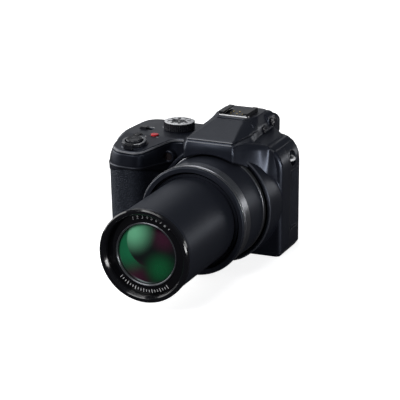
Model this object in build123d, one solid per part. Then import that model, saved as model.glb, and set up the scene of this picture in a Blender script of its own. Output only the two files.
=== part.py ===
from build123d import *
import math
import os

# Bridge camera with a telescoping zoom lens, in millimetres.
# Origin on the base plane under the lens axis, at the mouth of the tripod socket.
# +X is the right-hand side seen from the front, the lens points to -Y, +Z is up.

# Driving sizes of the housing
body_left_x = -87.6
body_right_x = 41.5
body_back_y = 20.0
front_wall_y = -20.0
top_flat_z = 76.4
top_break_y = -22.0
top_slope = 0.13
lens_axis_z = 37.8
wall = 2.2
overrun = 8.0
face_gap = 0.3
run_gap = 0.06

# Plan outline of the housing
rear_left_run = 2.5
rear_left_radius = 10.0
left_belly_y = -12.0
left_belly_radius = 24.0
grip_front_y = -52.5
grip_foot_y = -47.5
grip_left_run = 13.5
grip_left_lag = 2.0
grip_left_radius = 17.0
grip_right_x = -50.5
grip_right_radius = 9.0
valley_x = -37.0
valley_run = 2.5
valley_radius = 9.0
front_right_radius = 3.0
rear_right_radius = 8.0
foot_inset = 1.6
foot_height = 2.4
grip_full_z = 60.0
shoulder_top_z = 78.4
left_shoulder = 21.0
right_shoulder = 17.0
back_shoulder = 6.0
grip_shoulder_share = 0.5
climb_shares = [0.0, 0.3, 0.52, 0.7, 0.84, 0.94, 0.99]
least_radius = 0.6

# Housing seams
case_split_y = -4.0
floor_seam_z = 3.0
rim_depth = 0.6
trim_drop = wall + rim_depth

# Viewfinder hump
hump_foot_z = 60.0
hump_brow_z = 77.2
hump_waist_z = 80.0
hump_eave_z = 85.0
hump_roof_z = 91.6
hump_front_y = -49.5
hump_back_y = 23.5
hump_half_front = 17.5
flank_x = 31.0
flank_top_x = 26.5
flank_top_y = -27.0
flank_y = -28.5
flank_end_x = 38.5
flank_end_top_x = 29.5
flank_end_y = -19.4
waist_x = 19.4
waist_side_x = 22.5
waist_side_y = -25.0
waist_turn_y = -6.0
eave_x = 18.8
eave_side_x = 19.6
eave_front_y = -47.4
eave_half_front = 16.6
roof_front_y = -9.5
roof_half_front = 9.0
roof_side_x = 12.5
roof_side_y = -5.0
roof_turn_y = 1.0
roof_x = 15.0
left_flank_x = 27.0
left_flank_end_x = 29.6
eye_block_half = 19.2
eye_block_depth = 12.0
eye_block_foot_z = 69.6
eye_block_top_z = 90.4
hump_radius = 2.0
hump_rear_radius = 5.0

# Cowl and lens bore
bore_radius = 38.4
cowl_radius = 40.6
cowl_root_radius = 41.3
cowl_front_y = -38.0
wall_hole_radius = 36.9
# Fixed collar
collar_radius = 36.6
collar_inner_radius = 35.3
collar_front_y = -77.0
collar_mouth_radius = 33.6
collar_lip_radius = 37.3
collar_lip_length = 4.0
collar_groove_radius = 35.9
collar_groove_length = 1.0
collar_lip_depth = 3.2
collar_flange_radius = 39.6
collar_flange_thickness = 1.6
collar_rear_y = front_wall_y + wall + collar_flange_thickness
ring_band_length = 8.0
ring_band_radius = 37.2
rear_band_front_y = -42.0
rear_band_length = 3.6
rear_band_radius = 37.3
band_seat_depth = 0.45
band_seat_gap = 0.05
# Moving barrels, shown fully extended
tube_radius = 29.8
tube_wall = 1.9
tube_front_y = -149.4
tube_rear_y = -63.5
mid_radius = 31.9
mid_wall = 1.6
mid_front_y = -74.5
mid_length = 33.0
guide_radius = 33.4
guide_wall = 1.1
guide_front_y = -72.5
guide_flange_radius = 38.4
guide_flange_thickness = 1.2
cam_radius = 34.9
cam_wall = 1.1
cam_front_y = -66.0
barrel_lip = 0.28
barrel_lip_length = 3.0
cam_slot_width = 2.4
guide_slot_count = 3
slot_margin = 6.0
# Front of the lens
bezel_front_y = -152.4
bezel_radius = 30.6
bezel_mouth_radius = 27.5
bezel_round = 0.8
bezel_sleeve_radius = 28.4
bezel_seat_radius = 27.0
thread_length = 3.2
thread_relief = 0.3
thread_relief_length = 0.4
web_front_y = -145.6
web_depth = 3.4
name_ring_inner = 20.9
name_ring_thickness = 1.2
name_ring_cone = 0.8
front_glass_radius = 20.5
front_glass_edge = 2.4
front_glass_bulge = 2.1
front_glass_hollow = 1.2
glass_seat_lap = 1.6
seat_thickness = 1.4
glass_gap = 0.1
# Inner groups
variator_y = -100.0
variator_length = 12.0
variator_glass_radius = 15.0
cell_wall = 2.2
focus_y = -22.0
focus_length = 6.0
focus_radius = 19.0
focus_glass_radius = 12.0
rod_radius = 1.25
rod_offset = 15.8
rod_front_y = -33.0
rear_group_front_y = -8.0
rear_group_radius = 13.0
rear_glass_radius = 10.0
chassis_y = 8.2
chassis_thickness = 1.8
chassis_left_x = -36.0
chassis_right_x = 35.0
chassis_top_z = 70.0
chassis_foot_z = wall
sensor_half = 9.0
sensor_window_half = 5.2
sensor_thickness = 1.0
board_gap = 1.2
board_thickness = 1.4
board_left_x = -46.0
board_right_x = 33.0
board_foot_z = 9.0
board_top_z = 66.0
standoff_radius = 1.8
standoff_inset = 4.0
capacitor_radius = 3.9
capacitor_x = -41.4
capacitor_foot_z = 18.0
capacitor_length = 38.0
motor_x = -30.6
motor_z = 64.6
motor_radius = 5.0
motor_length = 15.0
motor_plate = 1.6
motor_shaft_radius = 0.75
motor_shaft_length = 4.0


def shoulder(z, radius):
    climb = z - (shoulder_top_z - radius)
    if climb <= 0:
        return 0.0
    return radius - math.sqrt(max(radius ** 2 - climb ** 2, 0.0))


def top_z(y):
    return top_flat_z - top_slope * max(top_break_y - y, 0.0)


def moved_in(corners, inset):
    result = []
    count = len(corners)
    for index in range(count):
        ax, ay, unused = corners[index - 1]
        bx, by, radius = corners[index]
        cx, cy, unused = corners[(index + 1) % count]
        first = math.hypot(bx - ax, by - ay)
        second = math.hypot(cx - bx, cy - by)
        n1 = (-(by - ay) / first, (bx - ax) / first)
        n2 = (-(cy - by) / second, (cx - bx) / second)
        turn = n1[0] * n2[1] - n1[1] * n2[0]
        reach = inset / (1 + n1[0] * n2[0] + n1[1] * n2[1])
        new_radius = radius - inset if turn > 0 else radius + inset
        x = bx + reach * (n1[0] + n2[0])
        y = by + reach * (n1[1] + n2[1])
        result.append((x, y, max(new_radius, least_radius)))
    return result


def outline_face(corners, z):
    points = [(x, y) for x, y, radius in corners]
    radii = [radius for x, y, radius in corners]
    return Pos(0, 0, z) * make_face(FilletPolyline(*points, radius=radii, close=True))


def plan_corners(z):
    left_in = shoulder(z, left_shoulder)
    foot = foot_inset * max(1 - z / foot_height, 0.0)
    left = body_left_x + left_in + foot
    right = body_right_x - shoulder(z, right_shoulder) - foot
    back = body_back_y - shoulder(z, back_shoulder) - foot
    lean = min(z / grip_full_z, 1.0)
    front = grip_foot_y + (grip_front_y - grip_foot_y) * lean + foot
    grip_left = left + grip_left_run - left_in * grip_shoulder_share
    return [
        (left + rear_left_run, back, rear_left_radius),
        (left, left_belly_y, left_belly_radius),
        (grip_left, front + grip_left_lag, grip_left_radius - left_in * grip_shoulder_share),
        (grip_right_x, front, grip_right_radius),
        (valley_x, front_wall_y - valley_run, valley_radius),
        (right, front_wall_y, front_right_radius),
        (right, back, rear_right_radius),
    ]


def box_between(x0, x1, y0, y1, z0, z1):
    centre = Pos((x0 + x1) / 2, (y0 + y1) / 2, (z0 + z1) / 2)
    return centre * Box(abs(x1 - x0), abs(y1 - y0), abs(z1 - z0))


def rod_y(radius, y0, y1, x=0.0, z=lens_axis_z):
    return Pos(x, (y0 + y1) / 2, z) * Rot(90, 0, 0) * Cylinder(radius, abs(y1 - y0))


def rod_z(radius, z0, z1, x, y):
    return Pos(x, y, (z0 + z1) / 2) * Cylinder(radius, abs(z1 - z0))


def rod_x(radius, x0, x1, y, z):
    return Pos((x0 + x1) / 2, y, z) * Rot(0, 90, 0) * Cylinder(radius, abs(x1 - x0))


def tube_y(outer, inner, y0, y1):
    return rod_y(outer, y0, y1) - rod_y(inner, min(y0, y1) - overrun, max(y0, y1) + overrun)


def turned(points):
    # Points are radius and place along the lens axis.
    face = make_face(Polyline(*[(radius, y) for radius, y in points], close=True))
    return Pos(0, 0, lens_axis_z) * revolve(face, Axis.Y)


def along_x(points, x0, x1):
    # Points are Y and Z, the prism runs along X.
    face = make_face(Polyline(*points, close=True))
    upright = Rot(0, 0, 90) * Rot(90, 0, 0) * extrude(face, x1 - x0)
    return Pos(x0, 0, 0) * upright


def along_y(points, y0, y1):
    # Points are X and Z, the prism runs along Y.
    face = make_face(Polyline(*points, close=True))
    return Pos(0, y1, 0) * Rot(90, 0, 0) * extrude(face, y1 - y0)


def plate(x0, x1, y0, y1, z0, z1, radius):
    # A flat plate with rounded corners, thin along Y.
    width = abs(x1 - x0)
    height = abs(z1 - z0)
    face = RectangleRounded(width, height, radius)
    return Pos((x0 + x1) / 2, max(y0, y1), (z0 + z1) / 2) * Rot(90, 0, 0) * extrude(face, abs(y1 - y0))


def body_solid(inset):
    levels = [inset]
    if inset < foot_height:
        levels.append(foot_height)
    levels.append(grip_full_z / 2)
    levels += [grip_full_z + (shoulder_top_z - grip_full_z) * share for share in climb_shares]
    faces = [outline_face(moved_in(plan_corners(z), inset), z) for z in levels]
    solid = loft(faces, ruled=True)
    low = -overrun
    far_front = grip_front_y - overrun
    far_back = body_back_y + overrun
    roof = along_x([
        (far_front, low),
        (far_back, low),
        (far_back, top_flat_z - inset),
        (top_break_y, top_flat_z - inset),
        (far_front, top_z(far_front) - inset),
    ], body_left_x - overrun, body_right_x + overrun)
    return solid & roof


def half_outline(side, front, flank, turn, back, back_radius):
    # Each of the three places is an X and a Y, from the front backwards.
    places = [front, flank, turn, (turn[0], back)]
    radii = [hump_radius, hump_radius, hump_radius, back_radius]
    return [(side * x, y, radius) for (x, y), radius in zip(places, radii)]


def hump_outline(right, left):
    return list(reversed(half_outline(-1, *left))) + half_outline(1, *right)


def hump_solid(inset):
    brow_back = body_back_y - back_shoulder
    front = (hump_half_front, hump_front_y)
    brow_right = (front, (flank_x, flank_y), (flank_end_x, flank_end_y), brow_back, hump_radius)
    brow_left = (front, (left_flank_x, flank_y), (left_flank_end_x, flank_end_y), brow_back, hump_radius)
    top_right = (front, (flank_top_x, flank_top_y), (flank_end_top_x, flank_end_y), brow_back, hump_radius)
    waist = (front, (waist_side_x, waist_side_y), (waist_x, waist_turn_y), hump_back_y, hump_rear_radius)
    eave = ((eave_half_front, eave_front_y), (eave_side_x, waist_side_y), (eave_x, waist_turn_y),
            hump_back_y, hump_rear_radius)
    roof = ((roof_half_front, roof_front_y), (roof_side_x, roof_side_y), (roof_x, roof_turn_y),
            hump_back_y - hump_radius, hump_rear_radius)
    sections = [
        (hump_outline(brow_right, brow_left), hump_foot_z + inset),
        (hump_outline(top_right, brow_left), hump_brow_z - inset),
        (hump_outline(waist, waist), hump_waist_z - inset),
        (hump_outline(eave, eave), hump_eave_z - inset),
        (hump_outline(roof, roof), hump_roof_z - inset),
    ]
    return loft([outline_face(moved_in(corners, inset), z) for corners, z in sections], ruled=True)


def eye_block(inset):
    back = hump_back_y - inset
    return plate(-eye_block_half + inset, eye_block_half - inset, back - eye_block_depth, back,
                 eye_block_foot_z + inset, eye_block_top_z - inset, hump_rear_radius - inset)


def camera_form(inset):
    return body_solid(inset) + hump_solid(inset) + eye_block(inset)


# Lens bore cut through the front of the housing
def lens_bore():
    front = rod_y(bore_radius, hump_front_y - overrun, front_wall_y)
    return front + rod_y(wall_hole_radius, front_wall_y - overrun, front_wall_y + 2 * wall)


def cowl():
    ring = turned([
        (bore_radius - wall, front_wall_y + wall),
        (bore_radius - wall, cowl_front_y),
        (cowl_radius, cowl_front_y),
        (cowl_root_radius, front_wall_y),
        (cowl_root_radius, front_wall_y + wall),
    ])
    keep = box_between(-bore_radius * 2, body_right_x, cowl_front_y - overrun, 0, 0, hump_eave_z)
    return ring & keep


def shell_solid():
    outer = camera_form(0.0) + cowl()
    cavity = camera_form(wall) - rod_y(bore_radius + wall, hump_front_y, front_wall_y + wall)
    return outer - cavity - lens_bore()


# Grip covering
skin_top_z = 59.6
skin_left_z = 53.0
skin_step_x = -60.0
skin_arch_x = -49.0
skin_end_x = -39.6
skin_end_z = 53.5
skin_foot_z = 4.6
skin_back_y = -7.0
skin_sink = 0.5
skin_depth = 1.4
skin_gap = 0.12


def skin_zone(margin):
    left = body_left_x - overrun
    outline = [
        (left, skin_foot_z - margin),
        (skin_end_x + margin, skin_foot_z - margin),
        (skin_end_x + margin, skin_end_z + margin),
        (skin_arch_x, skin_top_z + margin),
        (skin_step_x, skin_top_z + margin),
        (body_left_x, skin_left_z + margin),
        (left, skin_left_z + margin),
    ]
    return along_y(outline, grip_front_y - overrun, skin_back_y + margin)


def grip_rubber():
    skin = body_solid(skin_sink) - body_solid(skin_depth - skin_gap)
    return skin & skin_zone(0.0)


def skin_pocket():
    return (body_solid(-skin_sink) - body_solid(skin_depth)) & skin_zone(skin_gap)


# Thumb rest on the back
thumb_x0 = -83.0
thumb_x1 = -66.5
thumb_z0 = 40.0
thumb_z1 = 61.0
thumb_radius = 4.0
thumb_rise = 1.6


def thumb_rubber():
    pad = plate(thumb_x0, thumb_x1, body_back_y, body_back_y + thumb_rise, thumb_z0, thumb_z1, thumb_radius)
    crown = pad.edges().group_by(Axis.Y)[-1]
    return fillet(crown, thumb_rise / 2)


# Flash lid in the roof of the hump
lid_pivot_y = -11.8
lid_pivot_z = 87.7
lid_seam_z = 84.7
lid_tail_radius = 3.5
lid_skin = 1.6
lid_gap = 0.3
pivot_pin_radius = 0.9
pivot_boss_radius = 1.45
pivot_half = 7.0
pivot_ear = 2.2


def lid_zone(margin):
    front = box_between(-eave_side_x - overrun, eave_side_x + overrun, hump_front_y - overrun,
                        lid_pivot_y, lid_seam_z - margin, hump_roof_z + overrun)
    reach = eave_side_x + overrun
    tail = rod_x(lid_tail_radius + margin, -reach, reach, lid_pivot_y, lid_pivot_z)
    return front + tail


def lid_solid():
    zone = lid_zone(0.0)
    inner = hump_solid(lid_skin)
    inner -= rod_x(lid_tail_radius, -pivot_half, pivot_half, lid_pivot_y, lid_pivot_z)
    lid = (hump_solid(0.0) & zone) - inner
    lid -= rod_x(pivot_pin_radius + run_gap, -eave_x, eave_x, lid_pivot_y, lid_pivot_z)
    return lid


# Pop-up flash head under the lid
head_half = 12.5
head_front_y = -43.2
head_back_y = -34.0
head_low_z = 79.2
head_wall = 1.0
flash_glass_depth = 1.2
flash_tube_radius = 1.0
post_foot_z = 80.5
post_shelf_z = 84.0
bulkhead_thickness = 1.4
bulkhead_foot_z = 77.0
bulkhead_gate_half = 6.0


def flash_head():
    front = head_front_y + flash_glass_depth
    block = box_between(-head_half, head_half, front, head_back_y, head_low_z, hump_roof_z)
    bowl_half = head_half - head_wall
    bowl_back = head_back_y - 2 * head_wall
    bowl = box_between(-bowl_half, bowl_half, front - overrun, bowl_back,
                       head_low_z + head_wall, lid_seam_z - 2 * head_wall)
    middle = (head_low_z + lid_seam_z - head_wall) / 2
    lamp = rod_x(flash_tube_radius, -head_half, head_half, bowl_back - 2 * flash_tube_radius, middle)
    return (block & hump_solid(lid_skin)) - bowl + lamp


def flash_well():
    # Clear space under the closed lid for the flash head.
    side = head_half + 3 * lid_gap
    return box_between(-side, side, head_front_y - 5 * lid_gap, lid_pivot_y, head_low_z - lid_gap, lid_seam_z)


def flash_window():
    return box_between(-head_half, head_half, head_front_y, head_front_y + flash_glass_depth,
                       head_low_z, lid_seam_z - head_wall)


def flash_posts():
    # Two posts carry the pivot pin and stand on a bulkhead behind the flash well.
    posts = []
    bulk_y = lid_pivot_y + lid_tail_radius + lid_gap
    for side in (-1, 1):
        near = side * (pivot_half + face_gap)
        far = side * (pivot_half + face_gap + pivot_ear)
        posts.append(rod_x(pivot_boss_radius, near, far, lid_pivot_y, lid_pivot_z))
        posts.append(box_between(near, far, lid_pivot_y - pivot_boss_radius, lid_pivot_y + pivot_boss_radius,
                                 post_foot_z, lid_pivot_z))
        posts.append(box_between(near, far, lid_pivot_y, bulk_y + wall, post_foot_z, post_shelf_z))
    bulkhead = box_between(-eave_side_x, eave_side_x, bulk_y, bulk_y + bulkhead_thickness, bulkhead_foot_z,
                           hump_roof_z) & hump_solid(wall / 2)
    gate = bulkhead_gate_half
    posts.append(bulkhead - box_between(-gate, gate, bulk_y - wall, bulk_y + 2 * wall, 0, post_foot_z))
    joined = posts[0]
    for piece in posts[1:]:
        joined += piece
    return joined - rod_x(pivot_pin_radius + run_gap, -eave_x, eave_x, lid_pivot_y, lid_pivot_z)


def flash_hinge_pin():
    reach = pivot_half + face_gap + pivot_ear
    return rod_x(pivot_pin_radius, -reach, reach, lid_pivot_y, lid_pivot_z)


# Seams that part the housing
def trim_prism(drop):
    far_front = grip_front_y - overrun
    far_back = hump_back_y + overrun
    return along_x([
        (far_front, top_z(far_front) - drop),
        (top_break_y, top_flat_z - drop),
        (far_back, top_flat_z - drop),
        (far_back, hump_roof_z + overrun),
        (far_front, hump_roof_z + overrun),
    ], body_left_x - overrun, body_right_x + overrun)


def brow_zone():
    return box_between(-left_flank_end_x - face_gap, body_right_x + overrun, hump_front_y - overrun,
                       front_wall_y + wall, 0, lid_seam_z)


def eye_zone():
    return box_between(-eye_block_half, eye_block_half, hump_back_y - eye_block_depth,
                       hump_back_y + overrun, eye_block_foot_z, hump_roof_z)


def upper_zone():
    return trim_prism(trim_drop) - brow_zone() + eye_zone()


# Front face fittings
lamp_x = -38.6
lamp_z = 64.5
lamp_front_y = -28.6
lamp_boss_radius = 4.2
lamp_radius = 2.6
lamp_depth = 2.2

# Mode dial and top controls
dial_x = -42.8
dial_y = 0.0
dial_radius = 10.8
dial_height = 5.4
dial_gap = 0.35
dial_shaft_radius = 3.0
dial_teeth = 44
dial_tooth_depth = 0.45
dial_tooth_shares = [(0.0, 0.0), (0.35, 0.0), (0.5, 1.0), (0.85, 1.0)]
dial_top_radius = 8.4
dial_dish = 0.5
shaft_head_radius = 4.4
shaft_head_height = 1.2
shutter_x = -58.5
shutter_y = -40.0
shutter_radius = 5.4
shutter_rise = 3.4
shutter_stem_radius = 3.0
lever_radius = 8.4
lever_inner_radius = 6.2
lever_height = 2.0
lever_tab_reach = 4.2
lever_tab_half = 3.4
lever_tab_height = 2.8
lever_tab_root = 1.3
lever_tab_round = 1.1
pedestal_radius = 9.2
pedestal_rise = 0.7
press_travel = 0.9
key_gap = 0.25
key_flange = 0.9
key_flange_thickness = 1.0
record_x = -52.0
record_y = -21.0
record_radius = 2.7
key_rise = 0.9
burst_x = -63.5
burst_y = -23.5
burst_radius = 2.3
power_x = -66.0
power_y = -8.0
power_half_x = 2.6
power_half_y = 2.0
power_travel = 4.0
power_rise = 1.6
flash_key_x = 19.2
flash_key_y = 3.0
flash_key_z = 82.0
flash_key_radius = 2.2
flash_key_cover = 3.7


def top_place(x, y):
    turn = math.degrees(math.atan(top_slope)) if y < top_break_y else 0.0
    return Pos(x, y, top_z(y)) * Rot(turn, 0, 0)


def key_solid(radius, rise, cover=wall):
    # A round key with a flange that holds it under its cover, standing at z zero.
    cap = Pos(0, 0, (rise - cover - face_gap) / 2) * Cylinder(radius, rise + cover + face_gap)
    crown = cap.edges().group_by(Axis.Z)[-1]
    cap = fillet(crown, key_gap)
    low = -cover - face_gap - key_flange_thickness / 2
    return cap + Pos(0, 0, low) * Cylinder(radius + key_flange, key_flange_thickness)


def key_hole(radius, cover=wall):
    return Cylinder(radius + key_gap, 4 * cover)


def shutter_button():
    cap_height = shutter_rise - pedestal_rise
    cap = Pos(0, 0, pedestal_rise + cap_height / 2) * Cylinder(shutter_radius, cap_height)
    crown = cap.edges().group_by(Axis.Z)[-1]
    cap = fillet(crown, key_gap * 2)
    dish_radius = shutter_radius * 4
    cap -= Pos(0, 0, shutter_rise + dish_radius - key_gap) * Sphere(dish_radius)
    low = -wall - face_gap - key_flange_thickness
    stem_top = pedestal_rise + press_travel + 2 * face_gap
    stem = Pos(0, 0, (stem_top + low) / 2) * Cylinder(shutter_stem_radius, stem_top - low)
    flange_radius = shutter_stem_radius + key_flange
    flange = Pos(0, 0, low + key_flange_thickness / 2) * Cylinder(flange_radius, key_flange_thickness)
    lift = Pos(0, 0, press_travel + face_gap)
    return lift * cap + stem + flange


def zoom_lever():
    base = pedestal_rise + face_gap
    middle = base + lever_height / 2
    ring = Pos(0, 0, middle) * Cylinder(lever_radius, lever_height)
    tab_y = lever_tab_root - lever_radius - lever_tab_reach / 2
    tab = Box(2 * lever_tab_half, lever_tab_reach, lever_tab_height)
    tab = fillet(tab.edges().filter_by(Axis.Z), lever_tab_round)
    ring += Pos(0, tab_y, base + lever_tab_height / 2) * tab
    return ring - Pos(0, 0, middle) * Cylinder(lever_inner_radius, lever_height * 4)


def mode_dial():
    points = []
    for tooth in range(dial_teeth):
        for step_share, depth_share in dial_tooth_shares:
            angle = 2 * math.pi * (tooth + step_share) / dial_teeth
            radius = dial_radius - dial_tooth_depth * depth_share
            points.append((radius * math.cos(angle), radius * math.sin(angle)))
    body = extrude(make_face(Polyline(*points, close=True)), dial_height)
    body += Cylinder(dial_radius - dial_tooth_depth - dial_gap, dial_height * 2)
    body &= Pos(0, 0, dial_height / 2) * Cylinder(dial_radius + dial_gap, dial_height)
    body -= Pos(0, 0, dial_height) * Cylinder(dial_top_radius, dial_dish * 2)
    shaft = Pos(0, 0, -(wall + face_gap) / 2) * Cylinder(dial_shaft_radius, wall + face_gap + dial_gap * 2)
    head_middle = -wall - face_gap - shaft_head_height / 2
    head = Pos(0, 0, head_middle) * Cylinder(shaft_head_radius, shaft_head_height)
    lift = Pos(dial_x, dial_y, top_flat_z)
    return lift * (Pos(0, 0, dial_gap) * body + shaft + head)


def power_switch():
    top = Pos(0, 0, (power_rise - wall) / 2) * Box(2 * power_half_x, 2 * power_half_y, power_rise + wall)
    top = fillet(top.edges().filter_by(Axis.Z), power_half_y / 3)
    flange = Pos(0, 0, -wall - face_gap - key_flange_thickness / 2)
    foot_length = 2 * power_half_x + power_travel
    foot = flange * Box(foot_length, 2 * (power_half_y + key_flange), key_flange_thickness)
    neck = Pos(0, 0, -wall) * Box(2 * power_half_x, 2 * power_half_y, 4 * face_gap)
    return Pos(power_x, power_y, top_flat_z) * (top + neck + foot)


# Hot shoe on the hump
shoe_half = 10.5
shoe_front_y = -6.0
shoe_back_y = 13.0
shoe_seat_z = 91.0
shoe_floor = 0.8
shoe_rail_top_z = 94.4
shoe_lip = 2.4
shoe_lip_thickness = 0.9
shoe_rail_wall = 1.0
shoe_contact_radius = 0.75
shoe_contact_rise = 0.25
shoe_contact_x = 4.4
shoe_contact_y = 2.6
shoe_contact_places = [
    (0.0, shoe_contact_y),
    (-shoe_contact_x, shoe_contact_y),
    (-shoe_contact_x, -shoe_contact_y),
    (0.0, -shoe_contact_y),
    (shoe_contact_x, -shoe_contact_y),
]
shoe_seat_margin = 0.15


def hot_shoe():
    inner_half = shoe_half - shoe_rail_wall
    top = shoe_rail_top_z
    under = top - shoe_lip_thickness
    floor_top = shoe_seat_z + shoe_floor
    lip_x = inner_half - shoe_lip
    right = [
        (shoe_half, shoe_seat_z),
        (shoe_half, top),
        (lip_x, top),
        (lip_x, under),
        (inner_half, under),
        (inner_half, floor_top),
    ]
    profile = right + [(-x, z) for x, z in reversed(right)]
    shoe = along_y(profile, shoe_front_y, shoe_back_y)
    middle = (shoe_front_y + shoe_back_y) / 2
    for x, y in shoe_contact_places:
        shoe -= Pos(x, middle + y, shoe_seat_z) * Cylinder(shoe_contact_radius + shoe_seat_margin, overrun)
    return shoe


def shoe_contacts():
    middle = (shoe_front_y + shoe_back_y) / 2
    height = shoe_floor + shoe_contact_rise
    pins = [Pos(x, middle + y, shoe_seat_z + height / 2) * Cylinder(shoe_contact_radius, height)
            for x, y in shoe_contact_places]
    return Compound(children=[pin.solid() for pin in pins])


# Eyepiece at the back of the hump
eye_z = 77.3
eye_half = 17.0
eye_half_height = 7.0
eye_radius = 4.0
eye_front_y = 23.5
eye_back_y = 36.5
eye_hole_half = 10.0
eye_hole_half_height = 4.6
eye_lens_thickness = 2.0
evf_front_y = 3.0
evf_thickness = 3.0
evf_wall = 1.2
diopter_y = 17.5
diopter_z = 84.2
diopter_radius = 3.2
diopter_thickness = 2.4
diopter_shaft_radius = 1.2
diopter_flange_radius = 2.0
eye_lens_gap = 0.15
knurl_count = 16
knurl_groove = 0.35
evf_outer_half = 9.6
evf_outer_half_height = 5.0


def eyecup():
    x, z = eye_half, eye_half_height
    front = Pos(0, eye_front_y, eye_z) * Rot(90, 0, 0) * RectangleRounded(2 * x, 2 * z, eye_radius)
    back = Pos(0, eye_back_y, eye_z) * Rot(90, 0, 0) * RectangleRounded(
        2 * (x + face_gap * 3), 2 * (z + face_gap * 3), eye_radius + face_gap * 3)
    cup = loft([front, back], ruled=True)
    mouth_front = Pos(0, eye_front_y, eye_z) * Rot(90, 0, 0) * RectangleRounded(
        2 * eye_hole_half, 2 * eye_hole_half_height, eye_radius / 2)
    mouth_back = Pos(0, eye_back_y, eye_z) * Rot(90, 0, 0) * RectangleRounded(
        2 * (x - wall), 2 * (z - wall), eye_radius)
    return cup - loft([mouth_front, mouth_back], ruled=True)


def eyepiece_lens():
    inset = eye_lens_gap
    back = hump_back_y - inset
    return plate(-eye_hole_half + inset, eye_hole_half - inset, back - eye_lens_thickness, back,
                 eye_z - eye_hole_half_height + inset, eye_z + eye_hole_half_height - inset, eye_radius / 2)


def eye_hole():
    return plate(-eye_hole_half, eye_hole_half, hump_back_y - 2 * wall, hump_back_y + overrun,
                 eye_z - eye_hole_half_height, eye_z + eye_hole_half_height, eye_radius / 2)


def evf_unit():
    back = hump_back_y - wall
    outer = plate(-evf_outer_half, evf_outer_half, evf_front_y, back, eye_z - evf_outer_half_height,
                  eye_z + evf_outer_half_height, eye_radius / 2)
    inner_half = evf_outer_half - evf_wall
    inner_height = evf_outer_half_height - evf_wall
    inner = plate(-inner_half, inner_half, evf_front_y + evf_thickness, back + overrun,
                  eye_z - inner_height, eye_z + inner_height, eye_radius / 4)
    return outer - inner


def diopter_dial():
    side = waist_x + face_gap
    outer = side + diopter_thickness
    knob = rod_x(diopter_radius, side, outer, diopter_y, diopter_z)
    knob = chamfer(knob.edges().group_by(Axis.X)[-1], key_gap * 2)
    for index in range(knurl_count):
        angle = 2 * math.pi * index / knurl_count
        y = diopter_y + diopter_radius * math.cos(angle)
        z = diopter_z + diopter_radius * math.sin(angle)
        knob -= rod_x(knurl_groove, side, outer + overrun, y, z)
    inner = waist_x - wall - 4 * face_gap
    shaft = rod_x(diopter_shaft_radius, inner, side, diopter_y, diopter_z)
    flange = rod_x(diopter_flange_radius, inner - key_flange_thickness, inner, diopter_y, diopter_z)
    return knob + shaft + flange


# Fixed collar and its two metal bands
def lens_collar():
    front = collar_front_y
    lip_back = front + collar_lip_length - collar_groove_length
    groove_back = lip_back + collar_groove_length
    band_back = groove_back + ring_band_length
    rear_band_back = rear_band_front_y + rear_band_length
    seat = collar_radius - band_seat_depth
    rear = collar_rear_y
    tube = turned([
        (collar_mouth_radius, front),
        (collar_lip_radius - collar_groove_length, front),
        (collar_lip_radius, front + collar_groove_length * 2),
        (collar_lip_radius, lip_back),
        (collar_groove_radius, lip_back),
        (collar_groove_radius, groove_back),
        (seat, groove_back),
        (seat, band_back),
        (collar_radius, band_back),
        (collar_radius, rear_band_front_y),
        (seat, rear_band_front_y),
        (seat, rear_band_back),
        (collar_radius, rear_band_back),
        (collar_radius, rear),
        (collar_inner_radius, rear),
        (collar_inner_radius, front + collar_lip_depth),
        (collar_mouth_radius, front + collar_lip_depth),
    ])
    flange = tube_y(collar_flange_radius, collar_inner_radius, rear - collar_flange_thickness, rear)
    return tube + (flange & flange_window())


def flange_window():
    side = body_right_x - wall - 4 * face_gap
    return box_between(-side, side, front_wall_y, 0, wall + face_gap, top_flat_z - wall - face_gap)


def collar_rings():
    groove_back = collar_front_y + collar_lip_length
    inner = collar_radius - band_seat_depth + band_seat_gap
    round_off = band_seat_depth / 2
    rings = []
    for y, length, radius in ((groove_back, ring_band_length, ring_band_radius),
                              (rear_band_front_y, rear_band_length, rear_band_radius)):
        rings.append(turned([
            (inner, y + band_seat_gap),
            (radius - round_off, y + band_seat_gap),
            (radius, y + round_off),
            (radius, y + length - round_off),
            (radius - round_off, y + length - band_seat_gap),
            (inner, y + length - band_seat_gap),
        ]))
    return Compound(children=[ring.solid() for ring in rings])


# Telescoping barrels
def zoom_tube():
    inner = tube_radius - tube_wall
    pocket = front_glass_radius + glass_gap
    lip = front_glass_radius - glass_seat_lap
    web_back = web_front_y + web_depth
    recess = bezel_sleeve_radius + glass_gap
    return turned([
        (tube_radius, tube_front_y),
        (tube_radius, tube_rear_y),
        (inner, tube_rear_y),
        (inner, web_back),
        (lip, web_back),
        (lip, web_back - seat_thickness),
        (pocket, web_back - seat_thickness),
        (pocket, web_front_y),
        (recess, web_front_y),
        (recess, tube_front_y),
    ])


def front_bezel():
    mouth = bezel_mouth_radius
    thread_front = bezel_front_y + bezel_round / 2
    thread_back = thread_front + thread_length
    seat_front = thread_back + thread_relief_length
    return turned([
        (mouth, thread_front),
        (mouth + bezel_round / 2, bezel_front_y),
        (bezel_radius - bezel_round, bezel_front_y),
        (bezel_radius, bezel_front_y + bezel_round),
        (bezel_radius, tube_front_y),
        (bezel_sleeve_radius, tube_front_y),
        (bezel_sleeve_radius, web_front_y - glass_gap),
        (bezel_seat_radius, web_front_y - glass_gap),
        (bezel_seat_radius, seat_front),
        (mouth + thread_relief, seat_front),
        (mouth + thread_relief, thread_back),
        (mouth, thread_back),
    ])


def name_ring():
    outer = bezel_seat_radius - 2 * glass_gap
    front = web_front_y - name_ring_thickness
    return turned([
        (outer, web_front_y),
        (outer, front),
        (name_ring_inner, front - name_ring_cone),
        (name_ring_inner, web_front_y),
    ])


def dome_radius(radius, height):
    return (radius ** 2 + height ** 2) / (2 * height)


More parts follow.
